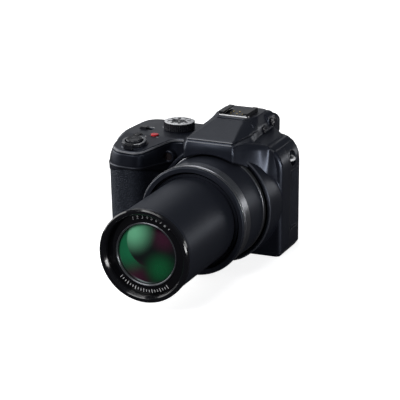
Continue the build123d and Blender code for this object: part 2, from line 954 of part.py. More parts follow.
def glass_disc(radius, back_y, edge, bulge, hollow):
    # A round lens with a domed front and a hollowed back.
    front_y = back_y - edge
    front_sphere = dome_radius(radius, bulge)
    back_sphere = dome_radius(radius - glass_seat_lap, hollow)
    disc = rod_y(radius, front_y - 2 * bulge, back_y)
    disc &= Pos(0, front_y - bulge + front_sphere, lens_axis_z) * Sphere(front_sphere)
    return disc - Pos(0, back_y - hollow + back_sphere, lens_axis_z) * Sphere(back_sphere)


def front_lens():
    back = web_front_y + web_depth - seat_thickness
    return glass_disc(front_glass_radius, back, front_glass_edge, front_glass_bulge, front_glass_hollow)


def mid_tube():
    rear = mid_front_y + mid_length
    inner = mid_radius - mid_wall
    return turned([
        (inner - barrel_lip, mid_front_y),
        (mid_radius, mid_front_y),
        (mid_radius, rear),
        (inner, rear),
        (inner, mid_front_y + barrel_lip_length),
        (inner - barrel_lip, mid_front_y + barrel_lip_length),
    ])


def guide_tube():
    inner = guide_radius - guide_wall
    tube = tube_y(guide_radius, inner, guide_front_y, collar_rear_y + guide_flange_thickness)
    flange = tube_y(guide_flange_radius, inner, collar_rear_y, collar_rear_y + guide_flange_thickness)
    tube += flange & flange_window()
    for index in range(guide_slot_count):
        slot = box_between(-cam_slot_width / 2, cam_slot_width / 2, guide_front_y + slot_margin,
                           collar_rear_y - slot_margin, inner / 2, guide_radius + overrun)
        turn = 360 * index / guide_slot_count
        tube -= Pos(0, 0, lens_axis_z) * Rot(0, turn, 0) * slot
    return tube


def cam_ring():
    rear = collar_rear_y - slot_margin / 4
    return tube_y(cam_radius, cam_radius - cam_wall, cam_front_y, rear)


def variator_group():
    outer = tube_radius - tube_wall - barrel_lip
    back = variator_y + variator_length
    cell = turned([
        (outer, variator_y),
        (outer, back),
        (outer - cell_wall, back),
        (outer - cell_wall, variator_y + cell_wall),
        (variator_glass_radius + cell_wall, variator_y + cell_wall),
        (variator_glass_radius + cell_wall, back),
        (variator_glass_radius, back),
        (variator_glass_radius, variator_y),
    ])
    glass = rod_y(variator_glass_radius, variator_y + cell_wall, back - cell_wall)
    return cell + glass


def focus_group():
    cell = rod_y(focus_radius, focus_y, focus_y + focus_length)
    dish = rod_y(focus_glass_radius, focus_y, focus_y + cell_wall)
    cell -= dish
    for side in (-1, 1):
        cell -= rod_y(rod_radius + run_gap, focus_y - overrun, focus_y + overrun * 2, side * rod_offset)
    return cell


def guide_rods():
    rods = [rod_y(rod_radius, rod_front_y, chassis_y, side * rod_offset) for side in (-1, 1)]
    return Compound(children=[rod.solid() for rod in rods])


def rear_lens_group():
    cell = rod_y(rear_group_radius, rear_group_front_y, chassis_y)
    return cell - rod_y(rear_glass_radius, rear_group_front_y - overrun, rear_group_front_y + cell_wall)


# Chassis behind the lens, with the boards that it carries
def chassis_plate():
    back = chassis_y + chassis_thickness
    base = box_between(chassis_left_x, chassis_right_x, chassis_y, back, chassis_foot_z, chassis_top_z)
    base = fillet(base.edges().filter_by(Axis.Y), standoff_inset / 2)
    base += box_between(chassis_left_x, chassis_right_x, chassis_y, back, chassis_foot_z, board_foot_z)
    for x in (chassis_left_x + standoff_inset, chassis_right_x - standoff_inset):
        for z in (board_foot_z + standoff_inset, board_top_z - standoff_inset):
            base += rod_y(standoff_radius, back, back + board_gap, x, z)
    window = sensor_window_half
    return base - box_between(-window, window, 0, back + overrun, lens_axis_z - window, lens_axis_z + window)


def sensor_board():
    front = chassis_y + chassis_thickness
    board = box_between(-sensor_half, sensor_half, front, front + sensor_thickness, lens_axis_z - sensor_half,
                        lens_axis_z + sensor_half)
    chip = sensor_window_half - run_gap
    low = lens_axis_z - chip
    high = lens_axis_z + chip
    return board + box_between(-chip, chip, front - chassis_thickness / 2, front, low, high)


def main_board():
    front = chassis_y + chassis_thickness + board_gap
    board = box_between(board_left_x, board_right_x, front, front + board_thickness,
                        board_foot_z, board_top_z)
    can = rod_z(capacitor_radius, capacitor_foot_z, capacitor_foot_z + capacitor_length, capacitor_x,
                front - capacitor_radius)
    foot = box_between(capacitor_x - capacitor_radius / 2, capacitor_x + capacitor_radius / 2,
                       front - capacitor_radius, front, capacitor_foot_z, capacitor_foot_z + capacitor_length)
    return board + can + foot


def zoom_motor():
    can = rod_y(motor_radius, chassis_y - motor_length, chassis_y, motor_x, motor_z)
    plate_front = chassis_y - motor_length - motor_plate
    gearbox = rod_y(motor_radius + face_gap, plate_front, chassis_y - motor_length, motor_x, motor_z)
    shaft = rod_y(motor_shaft_radius, plate_front - motor_shaft_length, plate_front, motor_x, motor_z)
    return can + gearbox + shaft


# Monitor in the back
lcd_x0 = -34.4
lcd_x1 = 35.6
lcd_z0 = 8.5
lcd_z1 = 61.5
lcd_radius = 2.0
lcd_glass = 1.2
lcd_proud = 0.2
lcd_ledge = 2.6
lcd_gap = 0.15
lcd_panel_thickness = 3.2


def lcd_window():
    back = body_back_y + lcd_proud
    return plate(lcd_x0, lcd_x1, back - lcd_glass, back, lcd_z0, lcd_z1, lcd_radius)


def lcd_cut():
    front = body_back_y + lcd_proud - lcd_glass
    pocket = plate(lcd_x0 - lcd_gap, lcd_x1 + lcd_gap, front, body_back_y + overrun, lcd_z0 - lcd_gap,
                   lcd_z1 + lcd_gap, lcd_radius)
    sight = plate(lcd_x0 + lcd_ledge, lcd_x1 - lcd_ledge, body_back_y - 2 * wall, body_back_y,
                  lcd_z0 + lcd_ledge, lcd_z1 - lcd_ledge, lcd_radius / 2)
    return pocket + sight


def lcd_panel():
    back = body_back_y - wall - lcd_gap
    edge = lcd_ledge
    front = back - lcd_panel_thickness
    return box_between(lcd_x0 + edge, lcd_x1 - edge, front, back, lcd_z0 + edge, lcd_z1 - edge)


# Controls in the back
back_key_radius = 2.6
back_key_x = -41.5
playback_z = 48.5
lock_z = 63.0
trash_z = 13.0
display_x = -73.0
evf_key_x = 29.0
evf_key_z = 66.8
evf_key_radius = 2.3
back_keys = {
    "playback_button": (back_key_x, playback_z, back_key_radius),
    "lock_button": (back_key_x, lock_z, back_key_radius),
    "evf_button": (evf_key_x, evf_key_z, evf_key_radius),
    "trash_button": (back_key_x, trash_z, back_key_radius),
    "display_button": (display_x, trash_z, back_key_radius),
}
pad_x = -61.0
pad_z = 26.0
pad_radius = 9.6
pad_rise = 1.0
pad_bore = 4.9
set_radius = 4.5
thumb_dial_x = -60.0
thumb_dial_z = 65.0
thumb_dial_radius = 9.0
thumb_dial_proud = 1.8
thumb_dial_thickness = 4.6
thumb_dial_teeth = 36
thumb_tooth_shares = [(0.0, 0.0), (0.4, 0.0), (0.5, 1.0), (0.9, 1.0)]
thumb_shaft_radius = 1.5
thumb_shelf = 1.6
thumb_shelf_half = 4.0


def back_place(x, z):
    return Pos(x, body_back_y, z) * Rot(-90, 0, 0)


def cursor_pad():
    ring = key_solid(pad_radius, pad_rise)
    ring -= Cylinder(pad_bore, overrun * 4)
    ring -= Pos(0, 0, -wall - face_gap - overrun / 2) * Cylinder(set_radius + key_flange + key_gap, overrun)
    return back_place(pad_x, pad_z) * ring


def set_button():
    cap = key_solid(set_radius, pad_rise, wall + press_travel + face_gap)
    return back_place(pad_x, pad_z) * cap


def thumb_dial_y():
    return body_back_y + thumb_dial_proud - thumb_dial_radius


def rear_dial():
    points = []
    for tooth in range(thumb_dial_teeth):
        for step_share, depth_share in thumb_tooth_shares:
            angle = 2 * math.pi * (tooth + step_share) / thumb_dial_teeth
            radius = thumb_dial_radius - dial_tooth_depth * depth_share
            points.append((radius * math.cos(angle), radius * math.sin(angle)))
    wheel = extrude(make_face(Polyline(*points, close=True)), thumb_dial_thickness)
    place = Pos(thumb_dial_x, thumb_dial_y(), thumb_dial_z)
    reach = face_gap + thumb_shelf
    axle_length = thumb_dial_thickness + 2 * reach
    axle = Pos(0, 0, thumb_dial_thickness / 2) * Cylinder(thumb_shaft_radius, axle_length)
    return place * (wheel + axle)


def thumb_dial_slot():
    y = thumb_dial_y()
    low = thumb_dial_z - face_gap
    high = thumb_dial_z + thumb_dial_thickness + face_gap
    return rod_z(thumb_dial_radius + face_gap, low, high, thumb_dial_x, y)


def thumb_shelves():
    y = thumb_dial_y()
    shelves = []
    for z in (thumb_dial_z - face_gap - thumb_shelf, thumb_dial_z + thumb_dial_thickness + face_gap):
        shelf = box_between(thumb_dial_x - thumb_shelf_half, thumb_dial_x + thumb_shelf_half,
                            y - thumb_shelf_half, body_back_y - wall / 2, z, z + thumb_shelf)
        shelves.append(shelf - rod_z(thumb_shaft_radius + run_gap, z - overrun, z + overrun, thumb_dial_x, y))
    return shelves[0] + shelves[1]


# Port bay in the side
port_y0 = -2.6
port_y1 = 12.4
port_z0 = 15.0
port_z1 = 57.0
port_door = 1.4
port_gap = 0.25
port_stub_radius = 0.45
port_stub_length = 1.2
port_groove_count = 9
port_groove_depth = 0.35
port_groove_share = 0.35
port_corner = 1.5
port_frame = 1.4
port_block_depth = 3.4
upper_port_z = 46.0
upper_port_width = 5.6
upper_port_height = 2.6
middle_port_z = 34.0
middle_port_width = 5.8
middle_port_height = 2.2
lower_port_z = 22.5
lower_port_side = 3.6
port_holes = [
    (upper_port_z, upper_port_width, upper_port_height),
    (middle_port_z, middle_port_width, middle_port_height),
    (lower_port_z, lower_port_side, lower_port_side),
]
port_hole_depth = 2.8


def port_pivot():
    return body_right_x - port_door / 2, port_y0 + port_door / 2


def port_cover():
    x, y = port_pivot()
    face_x = body_right_x
    leaf = box_between(face_x - port_door, face_x, y, port_y1, port_z0, port_z1)
    far = leaf.edges().filter_by(Axis.X).group_by(Axis.Y)[-1]
    leaf = fillet(far, port_corner)
    pitch = (port_y1 - y) / (port_groove_count + 1)
    for index in range(1, port_groove_count + 1):
        groove_y = y + index * pitch
        half = pitch * port_groove_share / 2
        leaf -= box_between(face_x - port_groove_depth, face_x + overrun, groove_y - half, groove_y + half,
                            port_z0 + port_corner, port_z1 - port_corner)
    leaf += rod_z(port_door / 2, port_z0, port_z1, x, y)
    reach = port_stub_length + port_gap
    return leaf + rod_z(port_stub_radius, port_z0 - reach, port_z1 + reach, x, y)


def port_cut():
    x, y = port_pivot()
    margin = port_gap
    pocket = box_between(body_right_x - port_door - margin, body_right_x + overrun, port_y0 - margin,
                         port_y1 + margin, port_z0 - margin, port_z1 + margin)
    bay = box_between(body_right_x - 2 * wall, body_right_x, port_y0 + port_frame, port_y1 - port_frame,
                      port_z0 + port_frame, port_z1 - port_frame)
    reach = port_stub_length + 2 * port_gap
    return pocket + bay + rod_z(port_stub_radius + run_gap, port_z0 - reach, port_z1 + reach, x, y)


def port_sockets():
    face_x = body_right_x - wall - face_gap
    middle = (port_y0 + port_y1) / 2
    edge = port_frame / 2
    block = box_between(face_x - port_block_depth, face_x, port_y0 + edge, port_y1 - edge,
                        port_z0 + edge, port_z1 - edge)
    block &= body_solid(wall + face_gap)
    for z, width, height in port_holes:
        block -= box_between(face_x - port_hole_depth, face_x + overrun, middle - width / 2,
                             middle + width / 2, z - height / 2, z + height / 2)
    return block


# Strap lugs in round recesses on both sides
lug_y = 2.4
right_lug_z = 64.5
left_lug_z = 61.5
lug_recess_radius = 5.4
lug_cup = 1.2
lug_floor_depth = 3.6
lug_ring_radius = 3.2
lug_wire_radius = 0.9
lug_turn = 8.0
lug_sink = 0.7


def lug_places():
    right = (1, body_right_x - lug_floor_depth, right_lug_z)
    left = (-1, body_left_x + lug_floor_depth, left_lug_z)
    return [right, left]


def strap_lugs():
    lugs = []
    for side, x, z in lug_places():
        wire = Pos(lug_ring_radius, 0, 0) * Rot(90, 0, 0) * Circle(lug_wire_radius)
        ring = Rot(0, 0, -90) * revolve(wire, Axis.Z, 180)
        root = Rot(0, 90, 0) * Cylinder(lug_ring_radius + lug_wire_radius, lug_sink)
        lug = Pos(lug_sink / 2, 0, 0) * ring + Pos(lug_sink / 2, 0, 0) * root
        turn = Rot(lug_turn, 0, 0)
        if side < 0:
            turn = Rot(0, 0, 180) * turn
        lugs.append(Pos(x, lug_y, z) * turn * lug)
    return Compound(children=[lug.solid() for lug in lugs])


def lug_cups():
    cups = []
    for side, x, z in lug_places():
        inner = x - side * lug_cup
        cups.append(rod_x(lug_recess_radius + lug_cup, inner, x + side * lug_floor_depth, lug_y, z))
    return cups


def lug_recesses():
    return [rod_x(lug_recess_radius, x, x + side * overrun * 2, lug_y, z) for side, x, z in lug_places()]


# Lamp beside the grip
def lamp_boss():
    return rod_y(lamp_boss_radius, lamp_front_y, front_wall_y + wall, lamp_x, lamp_z)


def lamp_window():
    return rod_y(lamp_radius, lamp_front_y + lcd_proud, lamp_front_y + lcd_proud + lamp_depth, lamp_x, lamp_z)


def lamp_hole():
    back = lamp_front_y + lcd_proud + lamp_depth
    return rod_y(lamp_radius + lcd_gap, lamp_front_y - overrun, back, lamp_x, lamp_z)


# Underside: battery door, latch, tripod socket and screws
door_x0 = -81.5
door_x1 = -51.0
door_y0 = -41.0
door_y1 = 2.0
door_thickness = 1.8
door_gap = 0.25
door_margin = 2.6
door_stub_radius = 0.5
door_stub_length = 1.6
latch_y = -19.5
latch_half = 5.0
latch_x0 = -75.5
latch_tongue_x = -77.8
latch_width = 6.0
latch_travel = 1.6
latch_recess = 0.7
latch_plate = 0.9
latch_neck_half = 2.0
latch_tongue_half = 3.5
battery_x0 = -75.0
battery_x1 = -54.4
battery_y0 = -36.0
battery_y1 = 3.0
battery_z0 = 3.2
battery_height = 55.0
battery_round = 1.5
card_x0 = -53.8
card_thickness = 2.1
card_y0 = -35.0
card_width = 24.0
card_height = 32.0
card_cut = 4.0
socket_radius = 4.9
socket_height = 7.2
socket_thread_radius = 3.175
socket_thread_depth = 6.2
socket_seat_gap = 0.1
screw_x = 33.0
screw_back_y = 14.0
screw_front_y = -10.0
left_screw_x = -44.0
left_screw_y = 8.0
screw_places = [
    (screw_x, screw_back_y),
    (-screw_x, screw_back_y),
    (screw_x, screw_front_y),
    (left_screw_x, left_screw_y),
]
screw_head_radius = 1.7
screw_head_height = 1.1
screw_shank_radius = 0.85
screw_length = 5.0
screw_sink = 0.3
screw_slot = 0.5


def door_pivot():
    return door_x1 - door_thickness / 2, door_thickness / 2


def foot_prism(inset):
    corners = moved_in(plan_corners(0.0), inset)
    return extrude(outline_face(corners, -overrun), 2 * overrun, dir=(0, 0, 1))


def battery_door():
    x, z = door_pivot()
    leaf = box_between(door_x0, x, door_y0, door_y1, 0, door_thickness)
    leaf &= foot_prism(door_margin)
    leaf += rod_y(door_thickness / 2, door_y0, door_y1, x, z)
    reach = door_stub_length + door_gap
    leaf += rod_y(door_stub_radius, door_y0 - reach, door_y1 + reach, x, z)
    side = latch_half + door_gap
    recess = box_between(latch_x0 - latch_travel - door_gap, latch_x0 + latch_width + door_gap,
                         latch_y - side, latch_y + side, -overrun, latch_recess)
    neck_x = latch_x0 + latch_width / 2
    neck = latch_neck_half + door_gap
    slot = box_between(neck_x - neck - latch_travel, neck_x + neck, latch_y - neck, latch_y + neck,
                       -overrun, wall)
    return leaf - recess - slot


def door_latch():
    # Stored unlocked, the tongue level with the free edge of the door.
    knob = box_between(latch_x0, latch_x0 + latch_width, latch_y - latch_half, latch_y + latch_half,
                       run_gap, latch_recess - run_gap)
    neck_x = latch_x0 + latch_width / 2
    top = door_thickness + run_gap
    neck = box_between(neck_x - latch_neck_half, neck_x + latch_neck_half, latch_y - latch_neck_half,
                       latch_y + latch_neck_half, run_gap, top + latch_plate)
    tongue = box_between(latch_tongue_x, latch_x0 + latch_width, latch_y - latch_tongue_half,
                         latch_y + latch_tongue_half, top, top + latch_plate)
    return knob + neck + tongue


def door_cut():
    x, z = door_pivot()
    gap = door_gap
    opening = box_between(door_x0 - gap, door_x1 + gap, door_y0 - gap, door_y1 + gap, -overrun, overrun)
    opening &= foot_prism(door_margin - gap)
    reach = door_stub_length + 2 * gap
    stubs = rod_y(door_stub_radius + run_gap, door_y0 - reach, door_y1 + reach, x, z)
    top = door_thickness + run_gap
    keeper = box_between(latch_tongue_x - 2 * latch_travel, latch_tongue_x, latch_y - latch_tongue_half - gap,
                         latch_y + latch_tongue_half + gap, top - gap, top + latch_plate + gap)
    return opening + stubs + keeper


def battery():
    cell = box_between(battery_x0, battery_x1, battery_y0, battery_y1, battery_z0,
                       battery_z0 + battery_height)
    return fillet(cell.edges().filter_by(Axis.Z), battery_round)


def memory_card():
    card = box_between(card_x0, card_x0 + card_thickness, card_y0, card_y0 + card_width, battery_z0,
                       battery_z0 + card_height)
    corner = card.edges().filter_by(Axis.X).group_by(Axis.Z)[-1].sort_by(Axis.Y)[0]
    return chamfer(corner, card_cut)


def tripod_socket():
    body = rod_z(socket_radius, 0, socket_height, 0, 0)
    return body - rod_z(socket_thread_radius, -socket_thread_depth, socket_thread_depth, 0, 0)


def base_screws():
    screws = []
    for x, y in screw_places:
        head_top = screw_sink + screw_head_height
        head = rod_z(screw_head_radius, screw_sink, head_top, x, y)
        shank = rod_z(screw_shank_radius, head_top, head_top + screw_length, x, y)
        cross = box_between(x - screw_head_radius / 2, x + screw_head_radius / 2, y - screw_slot / 2,
                            y + screw_slot / 2, screw_sink - screw_slot, screw_sink + screw_slot)
        cross += box_between(x - screw_slot / 2, x + screw_slot / 2, y - screw_head_radius / 2,
                             y + screw_head_radius / 2, screw_sink - screw_slot, screw_sink + screw_slot)
        screws.append((head + shank) - cross)
    return Compound(children=[screw.solid() for screw in screws])


def floor_holes():
    cuts = [rod_z(socket_radius + socket_seat_gap, -overrun, socket_height + overrun, 0, 0)]
    head_top = screw_sink + screw_head_height
    for x, y in screw_places:
        cuts.append(rod_z(screw_head_radius + socket_seat_gap, -overrun, head_top, x, y))
        cuts.append(rod_z(screw_shank_radius + socket_seat_gap, 0, head_top + screw_length + face_gap, x, y))
    return cuts


def floor_bosses():
    # Posts on the floor that the screws and the tripod socket stand in.
    bosses = []
    boss_top = screw_sink + screw_head_height + screw_length
    for x, y in screw_places:
        bosses.append(rod_z(screw_head_radius + face_gap, wall / 2, boss_top, x, y))
    bosses.append(rod_z(socket_radius + wall / 2, wall / 2, socket_height - socket_seat_gap, 0, 0))
    return bosses


# Housing shells
def housing():
    shell = shell_solid()
    shell += lamp_boss()
    for cup in lug_cups():
        shell += cup & camera_form(0.0)
    for recess in lug_recesses():
        shell -= recess
    return shell - lamp_hole()


def front_casing(shell, upper):
    half = box_between(body_left_x - overrun, body_right_x + overrun, hump_front_y - overrun * 2,
                       case_split_y, floor_seam_z, hump_roof_z)
    return (shell & half) - upper - skin_pocket() - lid_zone(lid_gap) - flash_well()


def rear_casing(shell, upper):
    half = box_between(body_left_x - overrun, body_right_x + overrun, case_split_y, hump_back_y + overrun,
                       floor_seam_z, hump_roof_z)
    casing = (shell & half) - upper
    casing += thumb_shelves()
    for name, (x, z, radius) in back_keys.items():
        casing -= back_place(x, z) * key_hole(radius)
    casing -= back_place(pad_x, pad_z) * key_hole(pad_radius)
    return casing - lcd_cut() - thumb_dial_slot() - port_cut()


def top_cover(shell, upper):
    cover = (shell & upper) - lid_zone(lid_gap) - flash_well()
    cover += flash_posts()
    cover += top_place(shutter_x, shutter_y) * Pos(0, 0, (pedestal_rise - wall) / 2) * Cylinder(
        pedestal_radius, pedestal_rise + wall)
    cover -= top_place(shutter_x, shutter_y) * Cylinder(shutter_stem_radius + run_gap, 4 * wall)
    cover -= rod_z(dial_shaft_radius + run_gap, top_flat_z - 2 * wall, top_flat_z + wall, dial_x, dial_y)
    cover -= top_place(record_x, record_y) * key_hole(record_radius)
    cover -= top_place(burst_x, burst_y) * key_hole(burst_radius)
    slot_x = power_half_x + power_travel / 2 + key_gap
    slot_y = power_half_y + key_gap
    slot = Box(2 * slot_x, 2 * slot_y, 4 * wall)
    cover -= Pos(power_x + power_travel / 2, power_y, top_flat_z) * slot
    cover -= flash_key_place() * key_hole(flash_key_radius)
    cover -= rod_x(diopter_shaft_radius + run_gap, 0, eye_block_half + overrun, diopter_y, diopter_z)
    seat_half = shoe_half + shoe_seat_margin
    cover -= box_between(-seat_half, seat_half, shoe_front_y - shoe_seat_margin,
                         shoe_back_y + shoe_seat_margin, shoe_seat_z, hump_roof_z + overrun)
    return cover - eye_hole()


def bottom_cover(shell):
    tray = shell & box_between(body_left_x - overrun, body_right_x + overrun, hump_front_y - overrun,
                               body_back_y + overrun, -overrun, floor_seam_z)
    for boss in floor_bosses():
        tray += boss
    for hole in floor_holes():
        tray -= hole
    return tray - door_cut()


def flash_key_place():
    return Pos(flash_key_x, flash_key_y, flash_key_z) * Rot(0, 90, 0)


def save(name, shape):
    solids = shape.solids()
    kept = solids[0] if len(solids) == 1 else Compound(children=list(solids))
    export_step(kept, f"parts/{name}.step")


def main():
    os.makedirs("parts", exist_ok=True)
    shell = housing()
    upper = upper_zone()
    pieces = {
        "front_casing": front_casing(shell, upper),
        "rear_casing": rear_casing(shell, upper),
        "top_cover": top_cover(shell, upper),
        "bottom_cover": bottom_cover(shell),
        "grip_rubber": grip_rubber(),
        "thumb_rubber": thumb_rubber(),
        "lens_collar": lens_collar(),
        "collar_rings": collar_rings(),
        "guide_tube": guide_tube(),
        "cam_ring": cam_ring(),
        "mid_tube": mid_tube(),
        "zoom_tube": zoom_tube(),
        "front_bezel": front_bezel(),
        "name_ring": name_ring(),
        "front_lens": front_lens(),
        "variator_group": variator_group(),
        "focus_group": focus_group(),
        "guide_rods": guide_rods(),
        "rear_lens_group": rear_lens_group(),
        "chassis_plate": chassis_plate(),
        "sensor_board": sensor_board(),
        "main_board": main_board(),
        "zoom_motor": zoom_motor(),
        "flash_lid": lid_solid(),
        "flash_head": flash_head(),
        "flash_window": flash_window(),
        "flash_hinge_pin": flash_hinge_pin(),
        "flash_open_button": flash_key_place() * key_solid(flash_key_radius, key_rise, flash_key_cover),
        "mode_dial": mode_dial(),
        "shutter_button": top_place(shutter_x, shutter_y) * shutter_button(),
        "zoom_lever": top_place(shutter_x, shutter_y) * zoom_lever(),
        "record_button": top_place(record_x, record_y) * key_solid(record_radius, key_rise),
        "burst_button": top_place(burst_x, burst_y) * key_solid(burst_radius, key_rise),
        "power_switch": power_switch(),
        "hot_shoe": hot_shoe(),
        "shoe_contacts": shoe_contacts(),
        "eyecup": eyecup(),
        "eyepiece_lens": eyepiece_lens(),
        "evf_unit": evf_unit(),
        "diopter_dial": diopter_dial(),
        "lcd_window": lcd_window(),
        "lcd_panel": lcd_panel(),
        "cursor_pad": cursor_pad(),
        "set_button": set_button(),
        "rear_dial": rear_dial(),
        "port_cover": port_cover(),
        "port_sockets": port_sockets(),
        "strap_lugs": strap_lugs(),
        "lamp_window": lamp_window(),
        "battery_door": battery_door(),
        "door_latch": door_latch(),
        "battery": battery(),
        "memory_card": memory_card(),
        "tripod_socket": tripod_socket(),
        "base_screws": base_screws(),
    }
    for name, (x, z, radius) in back_keys.items():
        pieces[name] = back_place(x, z) * key_solid(radius, key_rise)
    for name, shape in pieces.items():
        save(name, shape)


main()
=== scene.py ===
import bpy
import math
import numpy as np
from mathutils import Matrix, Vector


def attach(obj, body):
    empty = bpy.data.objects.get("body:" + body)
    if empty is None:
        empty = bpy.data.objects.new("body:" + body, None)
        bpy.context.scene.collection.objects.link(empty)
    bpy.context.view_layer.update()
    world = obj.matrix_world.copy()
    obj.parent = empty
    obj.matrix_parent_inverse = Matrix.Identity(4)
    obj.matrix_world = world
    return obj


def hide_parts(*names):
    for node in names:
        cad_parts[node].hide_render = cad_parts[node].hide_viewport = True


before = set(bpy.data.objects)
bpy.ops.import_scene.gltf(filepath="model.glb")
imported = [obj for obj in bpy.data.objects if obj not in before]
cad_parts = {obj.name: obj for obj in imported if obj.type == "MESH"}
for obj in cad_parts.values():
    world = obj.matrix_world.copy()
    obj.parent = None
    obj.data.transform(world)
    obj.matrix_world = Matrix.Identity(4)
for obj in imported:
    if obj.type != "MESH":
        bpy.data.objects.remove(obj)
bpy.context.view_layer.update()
mm = 0.001
print("frame loaded:", len(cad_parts), "CAD nodes")

# Places shared with the CAD, in millimetres
lensAxisZ = 37.8
topFlatZ = 76.4
topBreakY = -22.0
topSlope = 0.13
roofZ = 78.4


# Meshes from numpy arrays

def unit(angle):
    # Unit directions in a plane, one row (cos a, sin a) for each angle.
    return np.column_stack([np.cos(angle), np.sin(angle)])


def gridFaces(rows, columns, closeRows, closeColumns):
    # Quads of a rows by columns grid, joined round where a direction is closed.
    i = np.arange(rows if closeRows else rows - 1)
    j = np.arange(columns if closeColumns else columns - 1)
    a, b = np.meshgrid(i, j, indexing="ij")
    c, d = (a + 1) % rows, (b + 1) % columns
    quads = np.stack([a * columns + b, c * columns + b, c * columns + d, a * columns + d], axis=-1)
    return quads.reshape(-1, 4)


def tubeFaces(rows, columns):
    # A grid whose columns are joined round, with a face over each end.
    last = (rows - 1) * columns
    ends = [list(range(columns)), list(range(last + columns - 1, last - 1, -1))]
    return gridFaces(rows, columns, False, True).tolist() + ends


def linked(name, data):
    # A new object, put into the scene.
    made = bpy.data.objects.new(name, data)
    bpy.context.scene.collection.objects.link(made)
    return made


def addPiece(name, points, faces, home, smooth=True):
    # Points are in millimetres, faces are rows of indices, home is finish, body and slot in one string; the
    # slot is not used.
    finishName, body, slotName = home.split()
    mesh = bpy.data.meshes.new(name)
    mesh.from_pydata((np.asarray(points, float) * mm).tolist(), [], [list(face) for face in faces])
    mesh.polygons.foreach_set("use_smooth", np.full(len(mesh.polygons), smooth))
    mesh.materials.append(materials[finishName])
    mesh.update()
    piece = linked(name, mesh)
    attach(piece, body)
    return piece


def keepEdges(piece, angle=35.0):
    # Edges sharper than the angle stay crisp, the rest shade smoothly.
    split = piece.modifiers.new("crisp", "EDGE_SPLIT")
    split.split_angle = math.radians(angle)
    return piece


def addJoined(name, parts, home):
    # Small shapes, each a pair of points and faces, one after another in a single flat-shaded piece.
    allPoints, allFaces, start = [], [], 0
    for points, faces in parts:
        allPoints.append(points)
        allFaces += [[index + start for index in face] for face in faces]
        start += len(points)
    return addPiece(name, np.vstack(allPoints), allFaces, home, smooth=False)


def signedArea(profile):
    # Twice the area inside a closed profile: the sum of x0 y1 - y0 x1, positive where it runs anticlockwise.
    ahead = np.roll(profile, -1, axis=0)
    return np.sum(profile[:, 0] * ahead[:, 1] - profile[:, 1] * ahead[:, 0])


def turned(name, profile, place, axes, home, steps, crisp):
    # A closed profile of (radius r, height h): point = place + r cos a * axis0 + r sin a * axis1 + h * axis2.
    profile, axes = np.asarray(profile, float), np.asarray(axes, float)
    angle = np.linspace(0, 2 * math.pi, steps, endpoint=False)[:, None]
    radius, height = profile[None, :, 0], profile[None, :, 1] + 0 * angle
    grid = np.asarray(place, float) + sum(amount[..., None] * axis for amount, axis in zip(
        (radius * np.cos(angle), radius * np.sin(angle), height), axes))
    faces = gridFaces(steps, len(profile), True, True)
    if signedArea(profile) * np.linalg.det(axes) < 0:
        faces = faces[:, ::-1]
    return keepEdges(addPiece(name, grid.reshape(-1, 3), faces, home), crisp)


def lathe(name, profile, home, steps=160, crisp=35.0):
    # Turned about the lens axis, heights along Y.
    return turned(name, profile, (0, 0, lensAxisZ), [(1, 0, 0), (0, 0, 1), (0, 1, 0)], home, steps, crisp)


def turnedUpright(name, profile, place, home, steps=96, tilt=0.0, crisp=35.0):
    # Turned about an upright axis through place, leaned by tilt about X.
    lean, rise = math.cos(tilt), math.sin(tilt)
    return turned(name, profile, place, [(1, 0, 0), (0, lean, rise), (0, -rise, lean)], home, steps, crisp)


def threadTeeth(values):
    # Saw teeth: the radius swings from root to crest every half pitch, closed by the outer wall.
    turns = np.arange(values["from"], values["to"], values["pitch"])
    teeth = np.column_stack([np.tile([values["root"], values["crest"]], len(turns)),
                             np.repeat(turns, 2) + np.tile([0, values["pitch"] / 2], len(turns))])
    return np.vstack([teeth, [[values["outer"], teeth[-1, 1]], [values["outer"], teeth[0, 1]]]])


def sweep(name, path, outward, profile, home, crisp=50.0):
    # The profile (side, out) is carried along the path: point = path + side * across + out * outward.
    # Outward may be one direction for the whole path.
    path, profile = np.asarray(path, float), np.asarray(profile, float)
    outward = np.broadcast_to(np.asarray(outward, float), path.shape)
    tangent = np.gradient(path, axis=0)
    tangent /= np.linalg.norm(tangent, axis=1)[:, None]
    outward = outward - tangent * np.sum(outward * tangent, axis=1)[:, None]
    outward /= np.linalg.norm(outward, axis=1)[:, None]
    across = np.cross(outward, tangent)
    grid = path[:, None] + profile[None, :, :1] * across[:, None] + profile[None, :, 1:] * outward[:, None]
    faces = tubeFaces(*grid.shape[:2])
    if signedArea(profile) > 0:
        faces = [face[::-1] for face in faces]
    return keepEdges(addPiece(name, grid.reshape(-1, 3), faces, home), crisp)


def bars(name, centres, right, up, normal, sizes, home):
    # Small blocks: corner = centre +- w right +- h up +- t normal, for all of them at once.
    centres, right, up, normal = (np.broadcast_to(np.asarray(a, float), (len(centres), 3))
                                  for a in (centres, right, up, normal))
    sizes = np.broadcast_to(np.asarray(sizes, float), (len(centres), 3)) / 2
    signs = np.array([[-1, -1, -1], [1, -1, -1], [1, 1, -1], [-1, 1, -1],
                      [-1, -1, 1], [1, -1, 1], [1, 1, 1], [-1, 1, 1]], float)
    corners = sum(((signs[None, :, k:k + 1] * sizes[:, None, k:k + 1]) * axis[:, None]
                   for k, axis in enumerate((right, up, normal))), centres[:, None])
    base = np.array([[0, 3, 2, 1], [4, 5, 6, 7], [0, 1, 5, 4], [1, 2, 6, 5], [2, 3, 7, 6], [3, 0, 4, 7]])
    faces = (base[None] + 8 * np.arange(len(centres))[:, None, None]).reshape(-1, 4)
    return addPiece(name, corners.reshape(-1, 3), faces, home, smooth=False)


